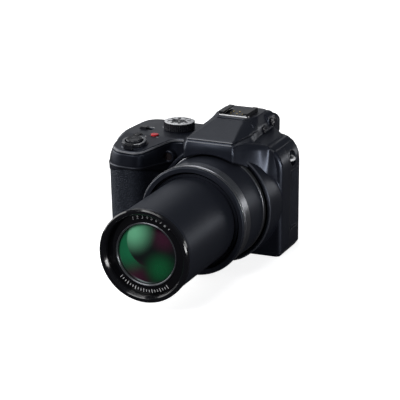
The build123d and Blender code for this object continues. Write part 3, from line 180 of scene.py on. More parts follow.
def wordArrays(words, size, depth):
    # Letters of the built-in font as a thin closed mesh, centred on zero, in millimetres.
    curve = bpy.data.curves.new("words", "FONT")
    curve.body = words
    curve.size = size
    curve.extrude = depth / 2
    curve.align_x = "CENTER"
    curve.align_y = "CENTER"
    curve.resolution_u = 3
    holder = linked("words", curve)
    bpy.context.view_layer.update()
    mesh = bpy.data.meshes.new_from_object(holder.evaluated_get(bpy.context.evaluated_depsgraph_get()))
    points = np.zeros(len(mesh.vertices) * 3)
    mesh.vertices.foreach_get("co", points)
    faces = [list(polygon.vertices) for polygon in mesh.polygons]
    bpy.data.objects.remove(holder)
    bpy.data.meshes.remove(mesh)
    bpy.data.curves.remove(curve)
    return points.reshape(-1, 3), faces


def printedWords(name, rows, size, depth, home):
    # Each row is words, place, right and up. A point goes to place + u right + v up + w (right x up).
    parts = []
    for words, place, right, up in rows:
        points, faces = wordArrays(words, size, depth)
        right, up = np.asarray(right, float), np.asarray(up, float)
        normal = np.cross(right, up)
        placed = points[:, :1] * right + points[:, 1:2] * up + points[:, 2:] * normal
        parts.append((np.asarray(place, float) + placed, faces))
    return addJoined(name, parts, home)


# Materials, all procedural on object coordinates

class Finish:
    # A Principled material with short ways to add nodes.
    def __init__(self, name):
        self.material = bpy.data.materials.new(name)
        self.material.use_nodes = True
        self.tree = self.material.node_tree
        self.shader = self.tree.nodes["Principled BSDF"]
        self.place = self.node("TexCoord").outputs["Object"]
        self.normal = None

    def node(self, kind, **values):
        made = self.tree.nodes.new("ShaderNode" + kind)
        for key, value in values.items():
            setattr(made, key, value)
        return made

    def join(self, source, target):
        self.tree.links.new(source, target)

    def put(self, **sockets):
        names = {"roughness": "Roughness", "metallic": "Metallic", "ior": "IOR", "coat": "Coat Weight",
                 "coatRoughness": "Coat Roughness", "specularTint": "Specular Tint"}
        for key, value in sockets.items():
            socket = self.shader.inputs[names[key]]
            socket.default_value = (*value, 1.0) if isinstance(value, tuple) else value

    def math(self, operation, a, b=None, clamp=False):
        made = self.node("Math", operation=operation, use_clamp=clamp)
        for socket, value in zip(made.inputs, (a, b)):
            if isinstance(value, float):
                socket.default_value = value
            elif value is not None:
                self.join(value, socket)
        return made.outputs[0]

    def texture(self, kind, scale, vector=None, **values):
        made = self.node("Tex" + kind, **values)
        made.inputs["Scale"].default_value = scale
        self.join(vector or self.place, made.inputs["Vector"])
        return made

    def noise(self, scale, detail=3.0, roughness=0.5, vector=None):
        made = self.texture("Noise", scale, vector)
        made.inputs["Detail"].default_value = detail
        made.inputs["Roughness"].default_value = roughness
        return made.outputs[0]

    def ranged(self, value, low, high, newLow, newHigh, smooth=False):
        made = self.node("MapRange")
        made.interpolation_type = "SMOOTHSTEP" if smooth else "LINEAR"
        for name, number in (("From Min", low), ("From Max", high), ("To Min", newLow), ("To Max", newHigh)):
            made.inputs[name].default_value = number
        self.join(value, made.inputs["Value"])
        return made.outputs["Result"]

    def mixed(self, share, first, second):
        made = self.node("MixRGB")
        self.join(share, made.inputs["Fac"])
        for socket, value in ((made.inputs["Color1"], first), (made.inputs["Color2"], second)):
            if isinstance(value, tuple):
                socket.default_value = (*value, 1.0)
            else:
                self.join(value, socket)
        return made.outputs["Color"]

    def color(self, value):
        self.join(value, self.shader.inputs["Base Color"])

    def roughness(self, value):
        self.join(value, self.shader.inputs["Roughness"])

    def shapedBy(self, made):
        self.normal = made.outputs["Normal"]
        self.join(self.normal, self.shader.inputs["Normal"])

    def softEdges(self, radius):
        made = self.node("Bevel", samples=6)
        made.inputs["Radius"].default_value = radius * mm
        self.shapedBy(made)

    def bump(self, height, depth, strength=1.0):
        made = self.node("Bump")
        made.inputs["Strength"].default_value = strength
        made.inputs["Distance"].default_value = depth * mm
        self.join(height, made.inputs["Height"])
        if self.normal is not None:
            self.join(self.normal, made.inputs["Normal"])
        self.shapedBy(made)

    def length(self, a, b):
        # sqrt(a a + b b)
        squares = [self.math("MULTIPLY", part, part) for part in (a, b)]
        return self.math("SQRT", self.math("ADD", *squares))

    def lensRadius(self):
        # Distance from the lens axis, its sideways and upward parts, and the vector (radius, y, 0).
        split = self.node("SeparateXYZ")
        self.join(self.place, split.inputs[0])
        up = self.math("SUBTRACT", split.outputs["Z"], lensAxisZ * mm)
        radius = self.length(split.outputs["X"], up)
        joined = self.node("CombineXYZ")
        self.join(radius, joined.inputs["X"])
        self.join(split.outputs["Y"], joined.inputs["Y"])
        return radius, split.outputs["X"], up, joined.outputs[0]


coolTint = (0.72, 0.80, 1.0)
mottleScale, sheenScale = 38.0, 90.0  # patches a metre, of colour and of roughness
mouldedColors = (0.0046, 0.0052, 0.0082), (0.0064, 0.0072, 0.0108)
paint = (0.34, 0.05, 2200.0, 0.006, 0.15)
# Material name, colour, colour of the light patches, roughness and its spread, grain and its depth,
# edge radius and tint of the gloss
plasticValues = {
    "moulded": ("mouldedSatin", *mouldedColors, 0.35, 0.04, 2600.0, 0.008, 0.9, coolTint),
    "lid": ("lidSatin", *mouldedColors, 0.34, 0.04, 2600.0, 0.008, 1.4, coolTint),
    "casing": ("casingSatin", *mouldedColors, 0.35, 0.04, 2600.0, 0.008, 1.5, coolTint),
    "lipPlastic": ("lipPlastic", (0.030, 0.032, 0.039), (0.036, 0.038, 0.046),
                   0.28, 0.04, 2600.0, 0.008, 0.2, coolTint),
    "silver": ("silverPaint", (0.52, 0.525, 0.54), (0.60, 0.605, 0.62), *paint),
    # painted highlight: the light grey of these strips stands for highlights along edges
    "trim": ("trimPaint", (0.13, 0.135, 0.150), (0.17, 0.175, 0.190), *paint),
    # white metal of the lug rings, and the painted highlight on the hot shoe's front edge
    "whiteMetal": ("whiteMetal", (0.66, 0.665, 0.68), (0.74, 0.745, 0.76), *paint),
    "smoothRubber": ("smoothRubber", (0.0050, 0.0054, 0.0075), (0.0065, 0.0070, 0.0095),
                     0.40, 0.05, 1800.0, 0.012, 0.4, (0.78, 0.84, 1.0)),
    "dryRubber": ("dryRubber", (0.0045, 0.0048, 0.0066), (0.0070, 0.0074, 0.0098),
                  0.55, 0.08, 1500.0, 0.03, 0.6, (0.70, 0.77, 0.95)),
    "gloss": ("glossBlack", (0.003, 0.003, 0.004), (0.0042, 0.0042, 0.0055), 0.12, 0.03, 900.0, 0.002, 0.3),
    "button": ("buttonSatin", (0.008, 0.0085, 0.0115), (0.011, 0.0115, 0.015),
               0.24, 0.05, 2400.0, 0.008, 0.3),
    "red": ("buttonRed", (0.42, 0.012, 0.022), (0.55, 0.020, 0.030), 0.24, 0.04, 1800.0, 0.004, 0.3),
    "case": ("caseMatte", (0.045, 0.045, 0.050), (0.065, 0.065, 0.070), 0.45, 0.06, 1800.0, 0.02, 0.3),
    "board": ("boardGreen", (0.012, 0.070, 0.030), (0.020, 0.110, 0.045), 0.38, 0.06, 700.0, 0.02, 0.1),
    "print": ("printWhite", (0.78, 0.79, 0.80), (0.86, 0.87, 0.88), 0.45, 0.05, 2000.0, 0.004, 0.05),
    "darkPrint": ("printDark", (0.012, 0.012, 0.014), (0.020, 0.020, 0.023), 0.5, 0.05, 2000.0, 0.004, 0.05),
    "seam": ("seamShade", (0.0022, 0.0022, 0.0026), (0.0034, 0.0034, 0.0040), 0.8, 0.05, 900.0, 0.01, 0.05),
}


def mouldedPlastic(name, color, light, roughness, spread, grain, grainDepth, edge, tint=(1.0, 1.0, 1.0)):
    # Spark-eroded satin plastic: fine even grain, faint mottling, softly rounded edges.
    finish = Finish(name)
    finish.color(finish.mixed(finish.noise(mottleScale, 2.0), color, light))
    patches = finish.noise(sheenScale, 3.0)
    finish.roughness(finish.ranged(patches, 0.3, 0.7, roughness - spread, roughness + spread))
    finish.put(specularTint=tint)
    finish.softEdges(edge)
    finish.bump(finish.noise(grain, 2.0, 0.6), grainDepth, 0.6)
    return finish.material


# color is the painted shade in the creases, light the colour of the pebble tops
leatherValues = {"color": (0.0036, 0.0043, 0.0068), "light": (0.0080, 0.0092, 0.0140), "roughness": 0.44,
                 "tint": (0.70, 0.80, 1.0), "pebble": 620.0, "depth": 0.20, "warp": 0.0016, "fine": 3200.0,
                 "fineDepth": 0.02}


def leatherRubber(name, values):
    # Rubber with a pebbled leather grain: rounded cells of uneven size parted by creases, with painted shade
    # darkening the colour in the creases.
    finish = Finish(name)
    warp = finish.texture("Noise", values["pebble"] / 4)
    shift = finish.node("VectorMath", operation="MULTIPLY_ADD")
    finish.join(warp.outputs["Color"], shift.inputs[0])
    shift.inputs[1].default_value = (values["warp"],) * 3
    finish.join(finish.place, shift.inputs[2])
    cell = finish.texture("Voronoi", values["pebble"], shift.outputs[0], feature="DISTANCE_TO_EDGE")
    pebble = finish.ranged(cell.outputs["Distance"], 0.0, 0.32, 0.0, 1.0, smooth=True)
    # Painted shade: the dark colour sits in the creases, the lighter one on the pebble tops
    finish.color(finish.mixed(pebble, values["color"], values["light"]))
    finish.roughness(finish.ranged(pebble, 0.0, 1.0, values["roughness"] + 0.16, values["roughness"]))
    finish.put(specularTint=values["tint"])
    finish.softEdges(0.3)
    finish.bump(pebble, values["depth"])
    finish.bump(finish.noise(values["fine"], 2.0), values["fineDepth"], 0.5)
    return finish.material


barrelValues = {"color": (0.0072, 0.0080, 0.0118), "light": (0.0092, 0.0102, 0.0145), "roughness": 0.41,
                "metallic": 0.14, "lines": 5200.0, "lineDepth": 0.002, "tint": (0.74, 0.82, 1.0)}


def satinBarrel(name, values):
    # Satin anodised metal with very fine turning lines round the axis.
    finish = Finish(name)
    lines = finish.noise(values["lines"], 2.0, 0.6, vector=finish.lensRadius()[3])
    finish.color(finish.mixed(finish.noise(30.0, 2.0), values["color"], values["light"]))
    finish.roughness(finish.ranged(lines, 0.3, 0.7, values["roughness"] - 0.03, values["roughness"] + 0.05))
    finish.put(metallic=values["metallic"], specularTint=values["tint"])
    finish.softEdges(0.25)
    finish.bump(lines, values["lineDepth"], 0.5)
    return finish.material


# Material name, colour, colour of the light lines, roughness, metallic share, lines a metre and their depth
turnedValues = {
    "ring": ("ringMetal", (0.215, 0.220, 0.238), (0.265, 0.270, 0.290), 0.27, 0.95, 3200.0, 0.0006),
    "brightRing": ("brightRing", (0.27, 0.275, 0.29), (0.35, 0.355, 0.37), 0.27, 0.95, 3200.0, 0.0006),
}
brushedValues = {
    "steel": ("brushedSteel", (0.42, 0.42, 0.43), (0.60, 0.60, 0.61), 0.28, 1.0, 2600.0, 0.008),
    "darkMetal": ("blackenedSteel", (0.030, 0.031, 0.035), (0.055, 0.056, 0.062), 0.30, 0.9, 2600.0, 0.006),
    "gold": ("contactGold", (0.72, 0.52, 0.18), (0.85, 0.66, 0.30), 0.18, 1.0, 3000.0, 0.004),
    "brass": ("turnedBrass", (0.50, 0.38, 0.16), (0.66, 0.52, 0.26), 0.30, 1.0, 3000.0, 0.008),
}


def metalSurface(finish, lines, color, light, metallic, lineDepth, edge, roughness):
    # Colour, roughness (from low to high) and height all follow the same lines.
    finish.color(finish.mixed(lines, color, light))
    finish.roughness(finish.ranged(lines, 0.2, 0.8, *roughness))
    finish.put(metallic=metallic)
    finish.softEdges(edge)
    finish.bump(lines, lineDepth, 0.6)
    return finish.material


def turnedMetal(name, color, light, roughness, metallic, lines, lineDepth):
    # Turned metal: lines of brightness and depth that follow the lathe.
    finish = Finish(name)
    rings = finish.noise(lines, 3.0, 0.7, vector=finish.lensRadius()[3])
    spread = (roughness - 0.05, roughness + 0.08)
    return metalSurface(finish, rings, color, light, metallic, lineDepth, 0.2, spread)


def brushedMetal(name, color, light, roughness, metallic, lines, lineDepth, stretch=14.0):
    # Brushed sheet metal: noise drawn out along X by the stretch.
    finish = Finish(name)
    mapping = finish.node("Mapping")
    mapping.inputs["Scale"].default_value = (1.0, stretch, stretch)
    finish.join(finish.place, mapping.inputs["Vector"])
    strokes = finish.noise(lines / stretch, 4.0, 0.7, vector=mapping.outputs[0])
    spread = (roughness - 0.04, roughness + 0.10)
    return metalSurface(finish, strokes, color, light, metallic, lineDepth, 0.15, spread)


# Painted reflections on the front glass: the colours of the coating reflections, the pale painted highlight
# (bright) and where each zone lies
paintedReflectionValues = {"deep": (0.0020, 0.0030, 0.0032), "green": (0.006, 0.135, 0.052), "pale": (0.15, 0.48, 0.27),
                 "leaf": (0.002, 0.085, 0.025), "magenta": (0.040, 0.003, 0.018), "radius": 20.5,
                 # zones: centre x and z, size and softness, in parts of the radius
                 "zones": [(0.62, 0.60, 0.34, 0.30, "magenta"), (-0.40, -0.80, 0.40, 0.34, "magenta"),
                           (0.50, -0.45, 0.40, 0.32, "leaf")],
                 "inner": (0.12, 0.40, 0.78, 0.03), "outer": (-0.78, 0.25, 0.72, 0.40),
                 "bright": (-0.52, 0.72, 0.46, 0.44)}


def paintedReflectionGlass(name, values):
    # Dark glass with painted reflections: green and magenta coating reflections and a pale painted highlight
    # in soft zones of its colour, each a smooth falloff from a centre, and painted shade darkening it at the
    # rim.
    finish = Finish(name)
    radius, side, up, _ = finish.lensRadius()
    reach = values["radius"] * mm

    def zone(centreX, centreZ, size, soft):
        far = finish.length(finish.math("SUBTRACT", side, centreX * reach),
                            finish.math("SUBTRACT", up, centreZ * reach))
        return finish.ranged(far, (size - soft) * reach, (size + soft) * reach, 1.0, 0.0, smooth=True)

    made = values["deep"]
    for *place, tone in values["zones"]:
        made = finish.mixed(zone(*place), made, values[tone])
    inner = zone(*values["inner"])
    outer = finish.math("SUBTRACT", zone(*values["outer"]), inner, clamp=True)
    # The painted green reflection in a crescent, then the painted pale highlight inside it
    made = finish.mixed(outer, made, values["green"])
    made = finish.mixed(finish.math("MULTIPLY", inner, zone(*values["bright"])), made, values["pale"])
    # Painted shade: the colour goes back to deep towards the rim
    edge = finish.ranged(radius, 0.90 * reach, 0.98 * reach, 0.0, 1.0, smooth=True)
    made = finish.mixed(edge, made, values["deep"])
    finish.color(made)
    finish.put(roughness=0.05, ior=1.7, coat=1.0, coatRoughness=0.02, specularTint=(0.6, 1.0, 0.85))
    return finish.material


def clearWindow(name, color, roughness=0.06):
    # Tinted clear plastic over a dark inside, faintly uneven.
    finish = Finish(name)
    finish.color(finish.mixed(finish.noise(400.0, 2.0), color, tuple(c * 1.5 for c in color)))
    finish.put(roughness=roughness, coat=1.0, coatRoughness=0.03)
    finish.bump(finish.noise(700.0, 1.0), 0.003, 0.4)
    return finish.material


screenValues = {"mask": (0.0045, 0.0045, 0.0055), "lit": (0.012, 0.013, 0.018), "x": (-29.8, 31.0),
                "z": (12.6, 57.4), "soft": 0.25}


def monitorGlass(name, values):
    # Gloss black cover glass with the slightly lighter panel behind it, inside a rectangle.
    finish = Finish(name)
    split = finish.node("SeparateXYZ")
    finish.join(finish.place, split.inputs[0])
    soft = values["soft"]
    sides = []
    for axis, (low, high) in (("X", values["x"]), ("Z", values["z"])):
        sides.append(finish.ranged(split.outputs[axis], (low - soft) * mm, low * mm, 0.0, 1.0))
        sides.append(finish.ranged(split.outputs[axis], high * mm, (high + soft) * mm, 1.0, 0.0))
    inside = finish.math("MULTIPLY", finish.math("MULTIPLY", sides[0], sides[1]),
                         finish.math("MULTIPLY", sides[2], sides[3]))
    finish.color(finish.mixed(inside, values["mask"], values["lit"]))
    finish.put(roughness=0.06, coat=1.0, coatRoughness=0.02)
    finish.bump(finish.noise(300.0, 1.0), 0.002, 0.3)
    return finish.material


materials = {
    "leather": leatherRubber("gripLeather", leatherValues),
    "barrel": satinBarrel("barrelSatin", barrelValues),
    "coated": paintedReflectionGlass("paintedReflectionGlass", paintedReflectionValues),
    "clear": clearWindow("clearGlass", (0.010, 0.011, 0.013)),
    "amber": clearWindow("amberGlass", (0.007, 0.004, 0.004)),
    "diffuser": clearWindow("flashDiffuser", (0.42, 0.43, 0.45), 0.2),
    "screen": monitorGlass("monitorGlass", screenValues),
}
for maker, rows in ((mouldedPlastic, plasticValues), (turnedMetal, turnedValues),
                    (brushedMetal, brushedValues)):
    materials.update({key: maker(*row) for key, row in rows.items()})

# Which finish each CAD node wears
nodeFinish = {
    "casing": "front_casing",
    "moulded": "rear_casing bottom_cover port_cover battery_door",
    "lid": "flash_lid top_cover",
    "leather": "grip_rubber thumb_rubber",
    "dryRubber": "eyecup",
    "barrel": "lens_collar guide_tube cam_ring mid_tube zoom_tube",
    "ring": "collar_rings",
    "gloss": "front_bezel name_ring variator_group focus_group rear_lens_group evf_unit",
    "coated": "front_lens",
    "clear": "eyepiece_lens",
    "amber": "lamp_window",
    "diffuser": "flash_window",
    "screen": "lcd_window lcd_panel",
    "board": "sensor_board main_board",
    "steel": "guide_rods chassis_plate zoom_motor flash_hinge_pin base_screws",
    "silver": "strap_lugs",
    "darkMetal": "hot_shoe port_sockets",
    "gold": "shoe_contacts",
    "brass": "tripod_socket",
    "case": "battery memory_card",
    "red": "record_button",
    "button": "flash_head flash_open_button mode_dial shutter_button zoom_lever burst_button power_switch "
              "diopter_dial cursor_pad set_button rear_dial door_latch playback_button lock_button "
              "evf_button trash_button display_button",
}
nodeValues = {"weld": 0.00001, "crisp": 24.0}  # merged distance in metres, angle of crisp edges
for finishName, nodeNames in nodeFinish.items():
    for nodeName in nodeNames.split():
        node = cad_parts[nodeName]
        node.data.materials.clear()
        node.data.materials.append(materials[finishName])
        node.data.polygons.foreach_set("use_smooth", np.ones(len(node.data.polygons), bool))
        weld = node.modifiers.new("joinTriangles", "WELD")
        weld.merge_threshold = nodeValues["weld"]
        keepEdges(node, nodeValues["crisp"])
print("materials on CAD nodes")


# The outline of the housing, as the CAD lofts it

planValues = {"left": -87.6, "right": 41.5, "back": 20.0, "front": -47.5, "lean": 5.0, "leanTo": 60.0,
              "footIn": 1.6, "footZ": 2.4, "leftShoulder": 21.0, "rightShoulder": 17.0, "backShoulder": 6.0}


def shoulderInset(z, radius):
    # How far a shoulder that ends at the roof has pulled in at height z: r - sqrt(r^2 - climb^2).
    climb = z - (roofZ - radius)
    return 0.0 if climb <= 0 else radius - math.sqrt(max(radius ** 2 - climb ** 2, 0.0))


def planCorners(z):
    # The housing's seven plan corners at height z: x, y and corner radius. The foot draws every side in.
    plan = planValues
    leftIn = shoulderInset(z, plan["leftShoulder"])
    foot = plan["footIn"] * max(1 - z / plan["footZ"], 0.0)
    left = plan["left"] + leftIn + foot
    right = plan["right"] - shoulderInset(z, plan["rightShoulder"]) - foot
    back = plan["back"] - shoulderInset(z, plan["backShoulder"]) - foot
    front = plan["front"] - plan["lean"] * min(z / plan["leanTo"], 1.0) + foot
    return [(left + 2.5, back, 10.0), (left, -12.0, 24.0),
            (left + 13.5 - leftIn / 2, front + 2.0, 17.0 - leftIn / 2), (-50.5, front, 9.0),
            (-37.0, -22.5, 9.0), (right, -20.0, 3.0), (right, back, 8.0)]


arcSteps, runSteps = 14, 10


def outlineAt(z):
    # Round the corners: centre + r (cos a, sin a) on each arc, straight runs between them.
    corners = planCorners(z)
    arcs = []
    for index in range(len(corners)):
        a = np.array(corners[index - 1][:2])
        b = np.array(corners[index][:2])
        c = np.array(corners[(index + 1) % len(corners)][:2])
        radius = corners[index][2]
        u = (a - b) / np.linalg.norm(a - b)
        v = (c - b) / np.linalg.norm(c - b)
        half = math.acos(float(np.clip(u @ v, -1, 1))) / 2
        middle = (u + v) / np.linalg.norm(u + v)
        centre = b + middle * radius / math.sin(half)
        start = b + u * radius / math.tan(half) - centre
        end = b + v * radius / math.tan(half) - centre
        turn = math.atan2(start[0] * end[1] - start[1] * end[0], float(start @ end))
        angle = math.atan2(start[1], start[0]) + np.linspace(0, turn, arcSteps)
        arcs.append(centre + radius * unit(angle))
    parts = []
    for index, arc in enumerate(arcs):
        following = arcs[(index + 1) % len(arcs)][0]
        share = np.linspace(0, 1, runSteps + 2)[1:-1, None]
        parts += [arc, arc[-1] * (1 - share) + following * share]
    return np.vstack(parts)


shoulderShares = np.array([0.0, 0.3, 0.52, 0.7, 0.84, 0.94, 0.99])
levelZ = np.concatenate([[0.0, 2.4, 30.0], 60 + (roofZ - 60) * shoulderShares])
levels = np.stack([outlineAt(z) for z in levelZ])
stride = arcSteps + runSteps


def onBody(index, z):
    # Points of the ruled loft at outline places index and heights z, straight between the levels.
    z = np.clip(z, levelZ[0], levelZ[-1])
    low = np.clip(np.searchsorted(levelZ, z, side="right") - 1, 0, len(levelZ) - 2)
    share = ((z - levelZ[low]) / (levelZ[low + 1] - levelZ[low]))[:, None]
    flat = levels[low, index] * (1 - share) + levels[low + 1, index] * share
    return np.column_stack([flat, z])


def bodyPath(index, heightOf):
    # A path on the housing whose height depends on y, found in a few rounds, and the outward normal along it.
    z = heightOf(np.full(len(index), topBreakY))
    for attempt in range(6):
        z = heightOf(onBody(index, z)[:, 1])
    path = onBody(index, z)
    above, below = onBody(index, z + 0.4), onBody(index, z - 0.4)
    climb = above - below
    tangent = np.gradient(path, axis=0)
    return path, np.cross(tangent, climb)


trimValues = {"half": 0.70, "rise": 0.26, "sink": 0.5, "drop": 1.15, "start": 1 * stride + 10,
              "end": 5 * stride - runSteps + 4}


def trimHeight(y):
    # Just under the top face: flat, then falling with the slope in front of the break.
    return topFlatZ - topSlope * np.maximum(topBreakY - y, 0) - trimValues["drop"]


def ribProfile(side, height, values):
    # A rib in section: its curved top over sides from -1 to 1, closed by a foot sunk below the surface.
    half, sink = values["half"], values["sink"]
    crown = np.column_stack([side * half, height * values["rise"]])
    return np.vstack([crown, [[half, -sink], [-half, -sink]]])


side = np.linspace(-1, 1, 25)
trimPath, trimOut = bodyPath(np.arange(trimValues["start"], trimValues["end"]), trimHeight)
# A raised ridge along the top cover's edge; its light grey is a painted highlight
sweep("trim_highlight_line", trimPath, trimOut, ribProfile(side, np.abs(np.sin(side * math.pi)) ** 0.8, trimValues),
      "trim camera_body ring_metal")

rimValues = {"half": 0.9, "rise": 0.28, "sink": 0.6, "z": 60.3, "start": arcSteps + 2,
             "end": 5 * stride - runSteps}
side = np.linspace(-1, 1, 13)
rimPath, rimOut = bodyPath(np.arange(rimValues["start"], rimValues["end"]), lambda y: 0 * y + rimValues["z"])
sweep("grip_rim", rimPath, rimOut, ribProfile(side, np.cos(side * math.pi / 2), rimValues),
      "smoothRubber camera_body grip_rubber")

seamLineValues = {"half": 0.14, "sink": 0.2, "rise": 0.03, "floorZ": 3.0, "sideY": -4.0, "low": 3.2,
                  "high": 73.2}
half, low, high = seamLineValues["half"], -seamLineValues["sink"], seamLineValues["rise"]
seamProfile = np.array([[-half, low], [half, low], [half, high], [-half, high]])
floorIndex = np.concatenate([np.arange(5 * stride + 2, 7 * stride), np.arange(0, 4 * stride + 6)])
floorPath, floorOut = bodyPath(floorIndex, lambda y: 0 * y + seamLineValues["floorZ"])
sweep("floor_seam_line", floorPath, floorOut, seamProfile, "seam camera_body body_plastic")

seamHeights = np.linspace(seamLineValues["low"], seamLineValues["high"], 48)
for seamName, sideIndex in (("left_seam_line", np.arange(arcSteps, stride)),
                            ("right_seam_line", np.arange(5 * stride + arcSteps, 6 * stride))):
    rows = np.stack([onBody(sideIndex, np.full(len(sideIndex), z)) for z in seamHeights])
    order = np.argsort(rows[0, :, 1])
    x = np.array([np.interp(seamLineValues["sideY"], row[order, 1], row[order, 0]) for row in rows])
    path = np.column_stack([x, np.full(len(x), seamLineValues["sideY"]), seamHeights])
    outward = np.cross(np.gradient(path, axis=0), np.array([0, 1.0, 0]))
    outward = outward * np.sign(outward[:, :1] * x[:, None])
    sweep(seamName, path, outward, seamProfile, "seam camera_body body_plastic")

# Thin bars along the lid's and the brow's front edges; their light grey is a painted highlight on those edges
edgeHighlightValues = {"radius": 0.34, "lid": (16.3, -47.25, 85.15), "brow": (16.4, -48.0, 83.4)}
barProfile = unit(np.linspace(0, 2 * math.pi, 12, endpoint=False))
for lineName, (half, y, z), home in (
        ("lid_edge_highlight", edgeHighlightValues["lid"], "trim flash_lid body_plastic"),
        ("brow_edge_highlight", edgeHighlightValues["brow"], "trim camera_body body_plastic")):
    path = np.column_stack([np.linspace(-half, half, 30), np.full(30, y), np.full(30, z)])
    sweep(lineName, path, (0, -1.0, 0.2), barProfile * edgeHighlightValues["radius"], home)

cowlLipValues = {"radius": 40.15, "y": -37.95, "bead": 0.72, "from": -64.0, "to": 62.0}
radius, y, bead, start, end = cowlLipValues.values()
cowlOut = np.insert(unit(np.radians(np.linspace(start, end, 90))), 1, 0.0, axis=1)
sweep("cowl_lip", cowlOut * radius + np.array([0, y, lensAxisZ]), cowlOut, barProfile * bead,
      "lipPlastic camera_body body_plastic")

cheekValues = {
    "low": [(18.0, -48.6), (21.5, -43.9), (25.0, -39.2), (28.2, -34.9), (31.0, -31.5), (33.0, -29.4),
            (34.2, -27.6), (36.0, -23.5), (38.7, -19.3)],
    "middle": [(17.6, -49.0), (20.2, -43.4), (22.8, -37.0), (25.2, -31.4), (27.8, -27.2), (31.0, -25.2),
               (33.4, -24.0), (34.2, -21.6), (34.4, -19.2)],
    "high": [(17.2, -47.9), (18.8, -42.0), (20.6, -35.8), (22.8, -29.9), (26.0, -25.2), (30.2, -22.6),
             (33.4, -21.6), (34.3, -20.2), (34.5, -19.2)],
    "top": [83.0, 82.6, 82.0, 81.1, 79.9, 79.0, 78.2, 77.0, 75.4],
    "inner": [83.3, 83.0, 82.6, 81.8, 79.8, 77.4, 75.8, 75.8, 74.6],
    "width": [0.6, 1.4, 2.2, 3.0, 5.5, 7.0, 7.0, 7.0, 7.0],
    "lowZ": 60.0, "middleZ": 77.4, "bore": 38.5, "round": 1.0, "steps": 96, "soften": 17}


def cheek(values):
    # The flank beside the brow: three plan curves blended by height, cut below by the bore's circle.
    # Its columns climb the wall, go round the top edge and end on an inner flap under the housing's skin.
    knots = np.linspace(0, 1, len(values["top"]))
    s = np.linspace(0, 1, values["steps"])
    kernel = np.hanning(values["soften"] + 2)[1:-1]
    kernel /= kernel.sum()
    pad = values["soften"] // 2

    def curve(numbers):
        run = np.interp(s, knots, numbers)
        ends = np.concatenate([2 * run[0] - run[pad:0:-1], run, 2 * run[-1] - run[-2:-pad - 2:-1]])
        return np.convolve(ends, kernel, "valid")

    low, middle, high = (np.column_stack([curve([p[axis] for p in values[name]]) for axis in (0, 1)])[:, None]
                         for name in ("low", "middle", "high"))
    top, inner, width = (curve(values[name])[:, None] for name in ("top", "inner", "width"))
    run = np.gradient(middle[:, 0], axis=0)
    inward = np.column_stack([-run[:, 1], run[:, 0]]) / np.linalg.norm(run, axis=1)[:, None]
    foot = lensAxisZ + np.sqrt(np.maximum(values["bore"] ** 2 - low[:, 0, :1] ** 2, 1.0))
    arc = np.linspace(0, math.pi / 2, 8)[None]
    radius, lowZ, middleZ = values["round"], values["lowZ"], values["middleZ"]
    wall = foot + (top - radius - foot) * np.linspace(0, 1, 20)[None, :-1]
    z = np.hstack([wall, top - radius + radius * np.sin(arc), inner, foot + 1.0])
    shift = np.hstack([0 * wall, 0 * top + radius * (1 - np.cos(arc)), width, np.minimum(width, 2.0)])
    lower = np.clip((z - lowZ) / (middleZ - lowZ), 0, 1)[..., None]
    upper = np.clip((z - middleZ) / np.maximum(top - middleZ, 0.5), 0, 1)[..., None]
    upper[:, -2] = np.clip(top - middleZ, 0, 1)  # the flap's upper column nears the high curve
    upper[:, -1] = 0.0  # its lower one stays on the middle curve at most
    plan = (low * (1 - lower) + middle * lower) * (1 - upper) + high * upper
    plan = plan + inward[:, None] * shift[..., None]
    grid = np.concatenate([plan, z[..., None]], axis=-1)
    keepEdges(addPiece("flank_cheek", grid.reshape(-1, 3), tubeFaces(*grid.shape[:2]),
                       "casing camera_body body_plastic"), 50.0)


cheek(cheekValues)

shoeValues = {"half": 10.2, "front": -6.0, "z": 91.95, "left": 4.0, "right": -2.5, "radius": 0.38,
              "corner": 0.4}
shoeHalf, shoeFront, corner = (shoeValues[key] for key in ("half", "front", "corner"))
shoePath = np.vstack([
    np.column_stack([np.full(8, -shoeHalf), np.linspace(shoeValues["left"], shoeFront + corner, 8)]),
    np.column_stack([np.linspace(-shoeHalf + corner, shoeHalf - corner, 20), np.full(20, shoeFront)]),
    np.column_stack([np.full(4, shoeHalf), np.linspace(shoeFront + corner, shoeValues["right"], 4)])])
shoePath = np.column_stack([shoePath, np.full(len(shoePath), shoeValues["z"])])
# A bright bar round the hot shoe's front edge: a painted highlight
sweep("shoe_edge_highlight", shoePath, (0, 0, 1.0), barProfile * shoeValues["radius"],
      "whiteMetal camera_body steel")
print("trim and seam lines")


# Lens pieces

threadValues = {"outer": 27.6, "root": 27.45, "crest": 27.12, "from": -152.0, "to": -149.2, "pitch": 0.7}
lathe("filter_thread_ridges", threadTeeth(threadValues), "gloss zoom_barrel gloss_black", crisp=20.0)

retainerValues = {"inner": 19.9, "outer": 20.95, "front": -147.75, "back": -146.4, "crown": 0.35}
inner, outer, front, back, crown = retainerValues.values()
arc = np.linspace(0, math.pi, 9)
lathe("glass_retainer", np.vstack([
    np.column_stack([(inner + outer) / 2 - (outer - inner) / 2 * np.cos(arc), front - crown * np.sin(arc)]),
    [[outer, back], [inner, back]]]), "ring zoom_barrel ring_metal")

bandValues = {"inner": 29.5, "outer": 30.25, "rear": 29.82, "front": -149.35, "back": -144.6, "chamfer": 0.4}
inner, outer, rear, front, back, chamfer = bandValues.values()
lathe("tube_front_band", [
    (inner, front), (outer - 0.1, front), (outer, front + 0.15), (outer, back - chamfer), (rear, back),
    (inner, back)], "barrel zoom_barrel barrel_satin")

lipValues = {"inner": 37.1, "outer": 37.42, "front": -75.6, "back": -74.6, "round": (0.05, 0.2)}
inner, outer, front, back, (roundIn, roundAlong) = lipValues.values()
lathe("collar_lip_line", [
    (inner, front), (outer - roundIn, front), (outer, front + roundAlong), (outer, back - roundAlong),
    (outer - roundIn, back), (inner, back)], "brightRing camera_body ring_metal")


